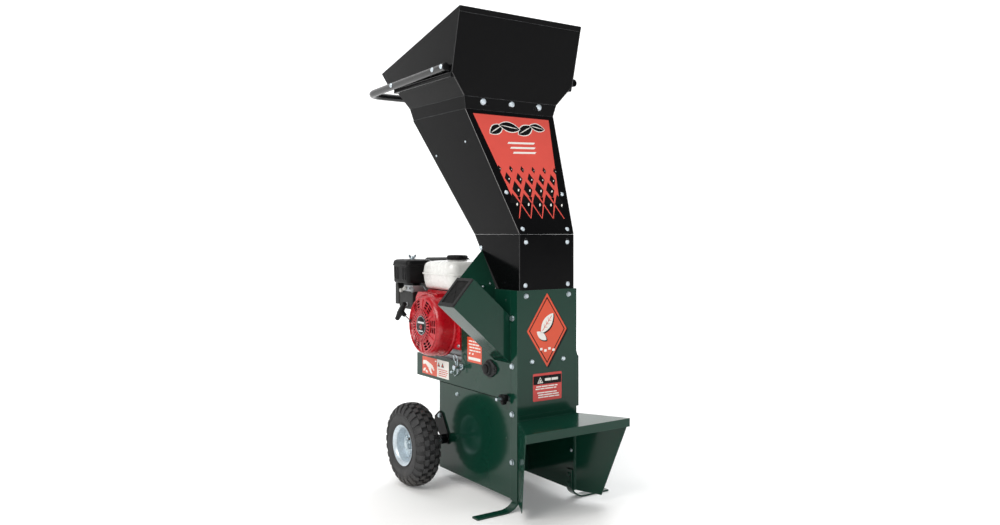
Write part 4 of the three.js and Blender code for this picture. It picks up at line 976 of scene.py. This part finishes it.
    label = Piece("starter_badge", "chassis", INK, "black_plastic")
    label.lathe(CRANK, -X, [(0, 183), (31.5, 183), (31.5, 185.4), (30.5, 185.9), (0, 186.2)], 64)
    label.done()
    pale = Piece("starter_badge_lines", "chassis", CHROME, "black_plastic")
    flat = ((-186.2, CRANK.y, CRANK.z), -Y, Z)
    pale.prism(*flat, rect(-21, 21, 6, 12, 2), -0.4, 0.35)
    pale.prism(*flat, rect(-14, 14, -20.5, -16.5, 1.5), -0.4, 0.35)
    pale.prism(*flat, circle(0, 0, 29.5, 64), -0.3, 0.15, holes=[backwards(circle(0, 0, 28.4, 64))])
    pale.done()
    red = Piece("starter_badge_mark", "chassis", RED, "engine_red")
    red.prism(*flat, gear(0, -5, 6.2, 8.6, 10), -0.4, 0.35, holes=[backwards(circle(0, -5, 3, 20))])
    red.done()
    bolts = Piece("cowl_bolts", "chassis", ZINC, "zinc")
    for y, z in ((334, 572), (514, 437), (317, 440)):
        bolts.bolt((-110.9, y, z), (-1, 0, 0), 8, 4.4, 5.4)
    bolts.done()


def tank():
    # The top falls a little towards the back.
    def level(z, inset):
        ring = rounded_ring(-130, 92, 333, 536, z, 34, inset)
        fall = max(0.0, (z - 666) / 40)
        return [Vector((p.x, p.y, p.z - fall * 5.0 * max(0.0, (p.y - 400) / 136))) for p in ring]

    levels = [(612, 40), (612, 24), (613.2, 15), (617, 9.0), (624, 5.6), (640, 2.4), (656, 0.6),
              (660.8, 0.4), (661, -2.6), (661.8, -3), (665.4, -3), (666.2, -2.6), (666.5, 0.4), (676, 1.0),
              (690, 2.4), (697, 4.6), (701.6, 8.4), (704.8, 13.6), (707.2, 21), (708.8, 33), (709.7, 50),
              (710, 72)]
    body = Piece("tank_shell", "chassis", WHITE, "tank_white")
    body.rings([level(z, inset) for z, inset in levels])
    body.lathe(FUEL_CAP, Z, [(0, 700), (34, 700), (32, 707), (29.2, 709), (28.8, 715), (0, 715)], 64)
    for y in (346, 523):
        tab = rect(-12, 12, y - (17 if y < 400 else 12), y + (12 if y < 400 else 25), 5)
        body.prism((-60, 0, 0), X, Y, tab, 661.6, 664.6)
    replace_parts(body.done(angle=50), "fuel_tank")
    feet = Piece("tank_brackets", "chassis", HEAT, "cast_iron")
    outline = fillet([(382, 586.4), (458, 586.4), (458, 590), (440, 592), (440, 611.6), (400, 611.6),
                      (400, 592), (382, 590)], 2, 3)
    for x in (-56, 64):
        feet.prism((x - 9, 0, 0), Y, Z, outline, 0, 18)
    feet.done(bevel=0.6)
    cap = Piece("cap_body", "fuel_cap", PLASTIC, "black_plastic")
    levels = [(710.6, 33.0), (711.4, 33.9), (721.6, 33.9), (723.6, 32.8), (725.2, 29.5), (726, 22),
              (725.4, 21), (725.4, 4)]
    cap.rings(knurled(FUEL_CAP, (X, Y, Z), levels, 144, 4, 32.5, 1.0))
    cap.prism(FUEL_CAP, X, Y, rect(-23, 23, -4, 4, 2), 724.6, 726)
    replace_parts(cap.done(angle=35), "fuel_cap")


def air_box():
    ring = lambda z, inset: rounded_ring(-174, -72, 539.5, 659, z, 16, inset)
    body = Piece("air_box_shell", "chassis", PLASTIC, "black_plastic")
    levels = [(628, 14), (628, 7), (629.4, 5), (633, 3.6), (660, 2.6), (685, 2.2), (686, 2.2), (686.6, 0.2),
              (687.4, -0.4), (690, -0.6), (690.8, 0), (691.2, 0.8), (699, 1.6), (703.4, 4), (706.4, 9),
              (707.6, 16), (708, 26)]
    body.rings([ring(z, inset) for z, inset in levels])
    for y in (564, 580, 618, 634):
        rings = [[Vector((x, y + w, z)) for x, w in ((-173.2 + e, -2.2), (-173.2 + e, 2.2), (-166, 2.2),
                                                     (-166, -2.2))]
                 for z, e in ((637, 4), (640, 0.8), (680, 0.2), (684, 3))]
        body.rings(rings)
    body.prism((-116.5, 0, 0), -Y, Z, fillet([(-668, 692), (-656, 692), (-656, 640), (-664, 640)], 2, 3),
               -14, 14)
    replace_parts(body.done(angle=40), "air_cleaner")
    nut = Piece("air_nut_wings", "air_nut", ZINC, "black_plastic")
    nut.lathe(AIR_NUT, Z, [(0, 708.5), (9.6, 708.5), (9.6, 709.6), (6.6, 710.4), (5.6, 717), (4.2, 718.4),
                           (0, 718.6)], 32)
    for s in (-1, 1):
        wing = fillet([(s * 3, 710.6), (s * 9, 711.2), (s * 14, 717), (s * 13.6, 723.4), (s * 9.6, 723.8),
                       (s * 6, 717.6), (s * 3, 717.6)], 2.4, 4)
        nut.prism(AIR_NUT, X, Z, wing if s > 0 else backwards(wing), -1.5, 1.5)
    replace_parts(nut.done(angle=35), "wing_nut")
    duct = Piece("intake_bracket", "chassis", GALVANISED, "zinc")
    duct.prism((0, 0, 0), X, Z, fillet([(-149, 603), (-112, 603), (-112, 606), (-149, 606)], 1, 2), -612,
               -549)
    duct.done()


def muffler():
    can = Piece("muffler_can", "chassis", HEAT, "heat_black")
    level = lambda z, inset: rounded_ring(-52, 86, 545, 660, z, 16, inset)
    can.rings([level(z, e) for z, e in ((628, 16), (628.4, 9), (631, 5), (636, 3), (667.6, 3), (667.8, 0.2),
                                        (671.6, 0.2), (671.8, 3), (704, 3), (709, 5.4), (711.6, 10),
                                        (712, 18))])
    can.lathe((0, 635, 690), X, fillet([(9.2, 80), (11, 80), (11, 95.6), (9.2, 95.6)], 0.4, 2)
              + [(9.2, 80)], 32)
    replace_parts(can.done(angle=40), "muffler")
    guard = Piece("muffler_guard", "chassis", HEAT, "heat_black")
    cut = [rect(-596 - 12.5 * k, -589 - 12.5 * k, 640, 700, 3.2) for k in range(-4, 6)]
    holes = [backwards(slot) for slot in cut if -652 < slot[0][0] < -556]
    guard.prism((-54, 0, 0), -Y, Z, rect(-655, -550, 633, 706, 8), -0.6, 0.8, holes)
    guard.done()


def engine_details():
    bolts = Piece("engine_bolts", "chassis", ZINC, "zinc")
    y, z = ENGINE_SHAFT
    for k in range(6):
        a = math.tau * k / 6 + 0.3
        bolts.bolt((92, y + 52 * math.cos(a), z + 52 * math.sin(a)), (1, 0, 0), 9, 5, 6)
    for x in (-72, 76):
        for y in (340, 505):
            bolts.bolt((x, y, 400), (0, 0, 1), 12, 7, 8)
    bolts.bolt((-150, 574, 610), (-1, 0, 0), 5, 2.4, 3.2)
    bolts.done()
    rods = Piece("linkage_rods", "chassis", ZINC, "zinc")
    rods.tube(smooth_path([(-113, 566, 622), (-120, 552, 624), (-118, 534, 618), (-113.5, 524, 606)], 6),
              1.3, 8)
    rods.tube(smooth_path([(-113, 603, 616), (-122, 622, 612), (-124, 640, 600), (-118, 648, 584)], 6), 1.1,
              8)
    rods.done()
    governor = Piece("control_bracket", "chassis", HEAT, "cast_iron")
    arm = [(-652, 592), (-640, 626), (-612, 626), (-612, 612), (-628, 606), (-634, 576), (-652, 574)]
    governor.prism((-112, 0, 0), -Y, Z, fillet(arm, 3, 4), 0, 2.2)
    governor.prism((-114.6, 0, 0), -Y, Z, rect(-606, -566, 556, 594, 5), -6, 0.6)
    governor.done(bevel=0.5)
    bowl = Piece("carburettor_bowl", "chassis", ALLOY, "engine_alloy")
    profile = [(0, 556), (9, 556), (19.6, 562), (19.6, 584), (22, 586), (22, 591), (0, 591)]
    profile = fillet(profile, [0, 3, 5, 2, 1, 1, 0], 4, closed=False)
    bowl.lathe((-94, 586, 0), Z, profile, 48)
    bowl.done(angle=30)
    cover = Piece("carburettor_body", "chassis", HEAT, "cast_iron")
    blocks = (([(-649, 548), (-649, 602), (-551, 602), (-551, 556), (-566, 539), (-636, 539)], 5, 113, 149),
              ([(-640, 601), (-560, 601), (-566, 627), (-634, 627)], 4, 113, 140),
              ([(-672, 552), (-672, 626), (-655, 626), (-648, 600), (-648, 552)], 4, 128, 152))
    for outline, radius, low, high in blocks:
        cover.prism((0, 0, 0), -Y, Z, fillet(outline, radius, 4), low, high)
    cover.done(bevel=2.0, segments=3)
    plug = Piece("spark_plug_boot", "chassis", RUBBER, "rubber")
    tilt = math.radians(22)
    way = Vector((0, math.cos(tilt), math.sin(tilt)))
    tip = CRANK + way * 214.3
    plug.lathe(tip, way, [(0, 0), (9, 0), (9.6, 4), (9.6, 20), (7.5, 25), (0, 26)], 32)
    plug.done(angle=35)


def lever_piece(name, node_name, body, material, slot, y, z, reach, drop):
    piece = Piece(name, body, material, slot)
    way = Vector((0, reach, drop)).normalized()
    across = X.cross(way)
    length = math.hypot(reach, drop)
    outline = fillet([(-5, -6.5), (8, -6.5), (length - 4, -3.4), (length - 4, 3.4), (8, 6.5), (-5, 6.5)],
                     [5, 4, 1, 1, 4, 5], 5)
    piece.prism((LEVER_X, y, z), way, across, outline, -2.7, -0.1)
    knob = fillet([(0, -0.2), (6.4, -0.2), (7, -2), (7, -7.5), (5.6, -9), (0, -9)], [0, 0.8, 1, 1, 1, 0], 3,
                  closed=False)
    piece.lathe(Vector((LEVER_X, y, z)) + way * length, X, knob, 32)
    piece.bolt((-153.1, y, z), (-1, 0, 0), 6, 2.6, 3.6)
    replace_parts(piece.done(angle=30), node_name)


def controls():
    lever_piece("choke_arm", "choke_lever", "choke", GREY, "grey_plastic", 562, 611, -22, -6)
    lever_piece("throttle_arm", "throttle_lever", "throttle", PALE, "grey_plastic", 598, 611, 26, -10)
    tap = Piece("tap_handle", "fuel_tap", GREY, "grey_plastic")
    tap.lathe((0, 588, 556), -X, fillet([(0, 148.4), (7, 148.4), (7, 152.0), (0, 152.4)], [0, 0.6, 0.8, 0],
                                        3, closed=False), 32)
    tap.prism((-149.6, 0, 0), -Y, Z, fillet([(-610, 553.6), (-586, 551.8), (-586, 560.2), (-610, 558.4)],
                                            1.8, 4), 0, 2.7)
    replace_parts(tap.done(angle=30), "fuel_tap")
    knob = Piece("switch_knob", "stop_switch", SIGNAL, "black_plastic")
    knob.lathe((-93, 0, 462), -Y, fillet([(0, -303.5), (8.6, -303.5), (9, -300), (8.4, -297), (0, -297)],
                                         [0, 0.6, 0.8, 0.8, 0], 3, closed=False), 40)
    knob.prism((-93, 0, 462), X, Z, rect(-1.9, 1.9, -8.8, 8.8, 1.7), -297.4, -292)
    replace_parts(knob.done(angle=30), "stop_switch")
    filler = Piece("filler_cap", "oil_cap", PLASTIC, "black_plastic")
    levels = [(327, 14), (326.4, 14.8), (319.6, 14.8), (318.4, 13.6), (318.2, 8)]
    filler.rings(knurled(FILLER, (X, Z, Y), levels, 72, 6, 14, 0.8))
    filler.lathe(FILLER, Y, [(0, 326), (10, 326), (10, 344.4), (0, 344.4)], 40)
    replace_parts(filler.done(angle=35), "oil_filler")


def starter():
    across = Vector((0, 1, -1)).normalized()
    grip = Piece("grip_bar", "starter", PLASTIC, "black_plastic")
    swell = lambda t: 10.4 * (0.88 + 0.12 * math.cos((t - 0.5) * 2 * math.pi)) if 0.03 < t < 0.97 else 7.8
    path = [GRIP + across * (-38 + 76 * k / 28) for k in range(29)]
    grip.tube(path, swell, 28)
    grip.lathe(GRIP, -PULL, [(0, 2), (9.4, 2), (8.0, 9), (7.0, 19), (5.8, 22), (2.4, 22), (2.4, 21.4),
                             (0, 21.4)], 32)
    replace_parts(grip.done(angle=40), "starter_grip")
    cap = Piece("grip_inset", "starter", GREY, "black_plastic")
    cap.prism(GRIP + PULL * 9.6, across, PULL.cross(across), rect(-20, 20, -3.4, 3.4, 3.2), -0.6, 0.8)
    cap.done()
    # Three twisted strands.
    start, end = GRIP - PULL * 62, GRIP - PULL * 21.8
    axis = (end - start).normalized()
    p, q = axes_of(axis)[:2]
    rope = Piece("pull_rope", "starter", ROPE, "grey_plastic")
    turns, steps = 5.0, 90
    for strand in range(3):
        path = []
        for k in range(steps + 1):
            t = k / steps
            a = math.tau * (turns * t + strand / 3)
            out = (p * math.cos(a) + q * math.sin(a)) * 0.95
            path.append(start + axis * (t * (end - start).length) + out)
        rope.tube(path, 1.05, 8)
    made = rope.done(angle=60, detached=True)
    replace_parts(made, "starter_rope")
    tuple(place(GRIP - PULL * 58))
    tuple(place(GRIP - PULL * 23))
    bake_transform(made)
    eye = Piece("rope_eyelet", "chassis", PLASTIC, "black_plastic")
    eye.lathe(GRIP - PULL * 46, PULL, [(2.6, -2), (7.4, -2), (7.4, 0.6), (5.6, 2), (3.4, 1.6), (2.6, 0.4),
                                       (2.6, -2)], 32)
    eye.done(angle=40)


# ---------- chute, drive and latches ----------
def chute_parts():
    slope = math.radians(41.5)
    along = Vector((-math.cos(slope), 0, math.sin(slope)))     # up the chute, towards its mouth
    up = Vector((math.sin(slope), 0, math.cos(slope)))
    plane = (along * 616, Y, up)     # the mouth; its normal points back down the chute
    lip = Piece("chute_lip", "chassis", LIP, "rubber")
    outer = rect(34.6, 118.8, 244.4, 344.6, 1.5)
    hole = rect(46, 107.4, 255, 334, 4)
    lip.prism(*plane, outer, -4.6, -0.4, holes=[backwards(hole)])
    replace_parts(lip.done(bevel=0.7), "chute_curtain")
    # The flaps are darker than the lip: painted shade inside the chute's mouth.
    flaps = Piece("chute_flaps", "chassis", FLAP, "rubber")
    middle = Vector((76.7, 294.5))
    inner = rect(44.4, 109, 253.4, 335.6)
    for k in range(4):
        a, b = Vector(inner[k]), Vector(inner[(k + 1) % 4])
        centre = (a + b + middle) / 3
        tri = [tuple(p + (centre - p).normalized() * 0.9) for p in (a, b, middle)]
        flaps.prism(*plane, fillet(tri, 2, 3), -2.3, -2.3 + 1.4)
    flaps.done()
    bead = Piece("chute_welds", "chassis", GREEN, "green_paint")
    for y in (34.2, 119.0):
        bead.tube([(-107.6, y, 452), (-107.6, y, 539)], 1.4, 8)
    bead.done()


def belt_side():
    bolts = Piece("guard_bolts", "chassis", ZINC, "zinc")
    for (y, z), r, angles in ((SHAFT, 60, (100, 180, 262)), (ENGINE_SHAFT, 44, (80, -10, -80))):
        for a in map(math.radians, angles):
            bolts.bolt((172, y + r * math.cos(a), z + r * math.sin(a)), (1, 0, 0), 10, 4.6, 6.6)
    bolts.done()
    vents = Piece("guard_louvres", "chassis", GREEN, "green_paint")
    for k in range(5):
        y = 232 + 24 * k
        z = 430 + (y - 232) * 0.37
        rings = []
        for t in (0.0, 0.08, 0.92, 1.0):
            w = 5.5 if 0.05 < t < 0.95 else 3.0
            out = 4.2 if 0.05 < t < 0.95 else 0.6
            zz = z - 26 + 52 * t
            rings.append([Vector((171.2, y - w, zz)), Vector((171.2 + out, y - w * 0.2, zz)),
                          Vector((171.4 + out, y + w * 0.6, zz)), Vector((171.2, y + w, zz))])
        vents.rings(rings)
    vents.done(angle=30)
    housing = Piece("bearing_parts", "chassis", IRON, "cast_iron")
    base = -PLATE_X - 0.3
    outline = fillet([(-37, -9), (0, -28), (37, -9), (37, 9), (0, 28), (-37, 9)], 9, 6)
    hole = backwards(circle(0, 0, 25.6, 40))
    housing.prism((base, *SHAFT), -Y, Z, outline, 0.1, 5.0, holes=[hole])
    dome = fillet([(12.6, 16.8), (19.5, 16.8), (21.5, 8.4), (26.4, 5.4), (26.4, 0.3), (12.6, 0.3)], 1.4, 4)
    housing.turned_ring((base, *SHAFT), -X, dome, 64)
    for d in (-30, 30):
        housing.bolt((base - 5.0, SHAFT[0] + d, SHAFT[1]), -X, 10, 5, 6.4)
    housing.done(bevel=0.8)
    dust = Piece("bearing_cap", "chassis", PLASTIC, "black_plastic")
    cup = fillet([(14.6, 0), (14.6, 3.4), (0, 4.6), (0, 1.2), (13.2, 1.2), (13.2, 0)],
                 [0.3, 1.2, 0, 0, 0.3, 0.3], 3)
    dust.turned_ring((-123.3, *SHAFT), -X, cup, 48)
    dust.done(angle=30)


def latch_parts():
    pin = Piece("latch_bar", "latch", ZINC, "zinc")
    profile = [(0, -138), (7.6, -138), (8.2, -137), (8.2, -132), (5, -131), (5, -93), (4, -92), (0, -92)]
    profile = fillet(profile, [0, 0.8, 0.6, 0.8, 0.4, 0.4, 0.4, 0], 3, closed=False)
    pin.lathe(LATCH, X, profile, 40)
    wire = [(0, -20), (0, 4), (-0.4, 26), (5, 35.5), (14, 38), (21, 32), (19, 22), (11, 15.5), (7.6, 9),
            (11, 1), (15, -6), (18, -13)]
    pin.tube(smooth_path([(-124, LATCH[1] + y, LATCH[2] + z) for y, z in wire], 8), 1.7, 12)
    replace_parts(pin.done(angle=40), "latch_pin")
    collar = Piece("latch_collar", "chassis", ZINC, "zinc")
    ring = fillet([(5.6, 106.4), (10.5, 106.4), (10.5, 111), (8.4, 112.4), (5.6, 112.4)], 0.6, 2)
    collar.turned_ring(LATCH, -X, ring, 40)
    collar.bolt((-106.4, 349, 366), (-1, 0, 0), 8, 4, 5)
    collar.tube(smooth_path([(-107.6, 349, 365), (-109, 351, 352), (-111, 343, 342), (-111, 333, 346),
                             (-111, 324, 354), (-112, 315, 362), (-113, 309, 369)], 8), 0.9, 8)
    collar.done(angle=40)
    knob = Piece("clamp_lobes", "clamp_knob", PLASTIC, "black_plastic")
    outline = []
    for k in range(72):
        a = math.tau * k / 72
        r = 13.2 + 4.4 * math.cos(3 * (a - 0.4))
        outline.append((-CLAMP[1] - r * math.cos(a), CLAMP[2] + r * math.sin(a)))
    bore = backwards(circle(-CLAMP[1], CLAMP[2], 5.4, 32))
    knob.prism((0, 0, 0), -Y, Z, outline, 114.4, 127.4, holes=[bore])
    boss = fillet([(5.3, 110.2), (10.6, 110.2), (11, 114), (11, 128), (10, 129.8), (5.3, 129.8)], 0.6, 3)
    knob.turned_ring(CLAMP, -X, boss, 48)
    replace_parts(knob.done(bevel=1.6, segments=3, angle=40), "hand_knob")
    rivet = Piece("side_rivets", "chassis", GREEN, "green_paint")
    for y, z in ((60, 602), (60, 200)):
        rivet.bolt((-BASE_X if z < BAND_LOW else -PLATE_X, y, z), (-1, 0, 0), 6, 2.4, 3.6, dome=True)
    rivet.done()
    heads = Piece("band_bolts", "chassis", ZINC, "zinc")
    heads.bolt((-PLATE_X, 368, 350), (-1, 0, 0), 8, 4.0, 5.4)
    heads.bolt((-BASE_X, 337, 284), (-1, 0, 0), 10, 4.6, 6.4)
    heads.done()


def hood_parts():
    """Fold lines, weld beads and bolts of the discharge hood."""
    piece = Piece("hood_welds", "chassis", GREEN, "green_paint")
    for s in (-1, 1):
        piece.tube([(s * 104, -1.8, 258), (s * 104, -1.8, 32)], 1.3, 8)
        piece.tube([(s * 104.6, -2, 257.6), (s * 184.6, -147, 257.6)], 1.3, 8)
    piece.done()
    bolts = Piece("hood_bolts", "chassis", ZINC, "zinc")
    for s in (-1, 1):
        bolts.bolt((s * 99.8, 13.6, 145.4), (-s, 0, 0), 9, 3.6, 5.6, dome=True)
    bolts.done()


def details():
    front_labels()
    side_labels()
    neck_artwork()
    fasteners()
    seams()
    for side, name in ((-1, "left"), (1, "right")):
        tyre(side, name)
        rim(side, name)
    hub_caps()
    hand_rail()
    feet()
    cowl()
    tank()
    air_box()
    muffler()
    engine_details()
    controls()
    starter()
    chute_parts()
    belt_side()
    latch_parts()
    hood_parts()


# ---------- studio ----------
FLOOR_NEAR, FLOOR_FAR = 0.12, 0.70


def studio():
    """A pale floor that curves up into a wall behind the machine."""
    ahead = Vector((math.sin(math.radians(34.245)), math.cos(math.radians(34.245)), 0))
    aside = Vector((ahead.y, -ahead.x, 0))
    profile = [(-26.0, 0.0), (0.0, 0.0), (5.0, 0.0)]
    profile += [(5.0 + 4.0 * math.sin(a), 4.0 - 4.0 * math.cos(a))
                for a in (math.pi / 2 * k / 24 for k in range(1, 25))]
    profile += [(9.0, 14.0)]
    points = [ahead * d + Z * h + aside * w for d, h in profile for w in (-26.0, 26.0)]
    faces = [(2 * k, 2 * k + 1, 2 * k + 3, 2 * k + 2) for k in range(len(profile) - 1)]
    mesh = bpy.data.meshes.new("floor")
    mesh.from_pydata([tuple(p) for p in points], [], faces)
    mesh.polygons.foreach_set("use_smooth", [True] * len(faces))
    floor = bpy.data.objects.new("floor", mesh)
    bpy.context.scene.collection.objects.link(floor)
    made = bpy.data.materials.new("floor_paper")
    made.use_nodes = True
    tree = made.node_tree
    shader = next(n for n in tree.nodes if n.type == "BSDF_PRINCIPLED")
    tone = node(tree, "ShaderNodeMix", data_type="RGBA")
    tree.links.new(spread(tree, noise(tree, 1.2), 0.0, 1.0), tone.inputs[0])
    tone.inputs[6].default_value, tone.inputs[7].default_value = linear((238, 238, 237)), linear((242, 242,
                                                                                                  241))
    tree.links.new(tone.outputs[2], shader.inputs["Base Color"])
    shader.inputs["Roughness"].default_value = 0.75
    shader.inputs["Specular IOR Level"].default_value = 0.15
    where = node(tree, "ShaderNodeTexCoord").outputs["Object"]
    far = node(tree, "ShaderNodeVectorMath", {0: where}, operation="LENGTH").outputs["Value"]
    glow = spread(tree, far, FLOOR_NEAR, FLOOR_FAR, 0.9, 4.5)
    tree.links.new(glow, shader.inputs["Emission Strength"])
    shader.inputs["Emission Color"].default_value = (1.0, 1.0, 1.0, 1.0)
    mesh.materials.append(made)
    floor.location.z = cad_low.z - 0.0005

    world = bpy.data.worlds.new("studio")
    bpy.context.scene.world = world
    world.use_nodes = True
    back = next(n for n in world.node_tree.nodes if n.type == "BACKGROUND")
    back.inputs["Color"].default_value = (0.95, 0.97, 1.0, 1.0)
    back.inputs["Strength"].default_value = 0.22

    def lamp(name, at, target, size, power, colour=(1, 1, 1)):
        light = bpy.data.lights.new(name, "AREA")
        light.shape, light.size, light.size_y = "RECTANGLE", size[0], size[1]
        light.energy, light.color = power, colour
        obj = bpy.data.objects.new(name, light)
        obj.location = at
        obj.rotation_euler = (Vector(target) - Vector(at)).to_track_quat("-Z", "Y").to_euler()
        bpy.context.scene.collection.objects.link(obj)

    lamp("key", (-3.4, -1.2, 3.0), (0, 0, 0.7), (2.4, 2.4), 125, (1.0, 0.98, 0.95))
    lamp("front", (0.6, -4.2, 1.9), (0, 0, 0.8), (2.6, 1.8), 34, (0.97, 0.98, 1.0))
    lamp("rim", (2.8, 2.4, 2.6), (0, 0, 0.9), (2.0, 2.0), 60, (0.95, 0.97, 1.0))
    lamp("top", (0.0, 0.3, 4.4), (0, 0, 0.6), (3.0, 3.0), 85)


def camera():
    made = bpy.data.cameras.new("camera")
    obj = bpy.data.objects.new("camera", made)
    bpy.context.scene.collection.objects.link(obj)
    made.sensor_fit, made.sensor_width = "HORIZONTAL", 36.0
    made.lens = 30.106
    made.shift_y = -0.0288
    made.clip_start, made.clip_end = 0.05, 100
    obj.location = place((-1491.2, -1943.3, 795.2))
    obj.rotation_euler = (math.radians(90), 0, math.radians(-34.245))
    bpy.context.scene.camera = obj
    settings = bpy.context.scene.view_settings
    settings.view_transform, settings.look = "Standard", "None"
    settings.exposure, settings.gamma = 0.0, 1.0


details()
studio()
camera()
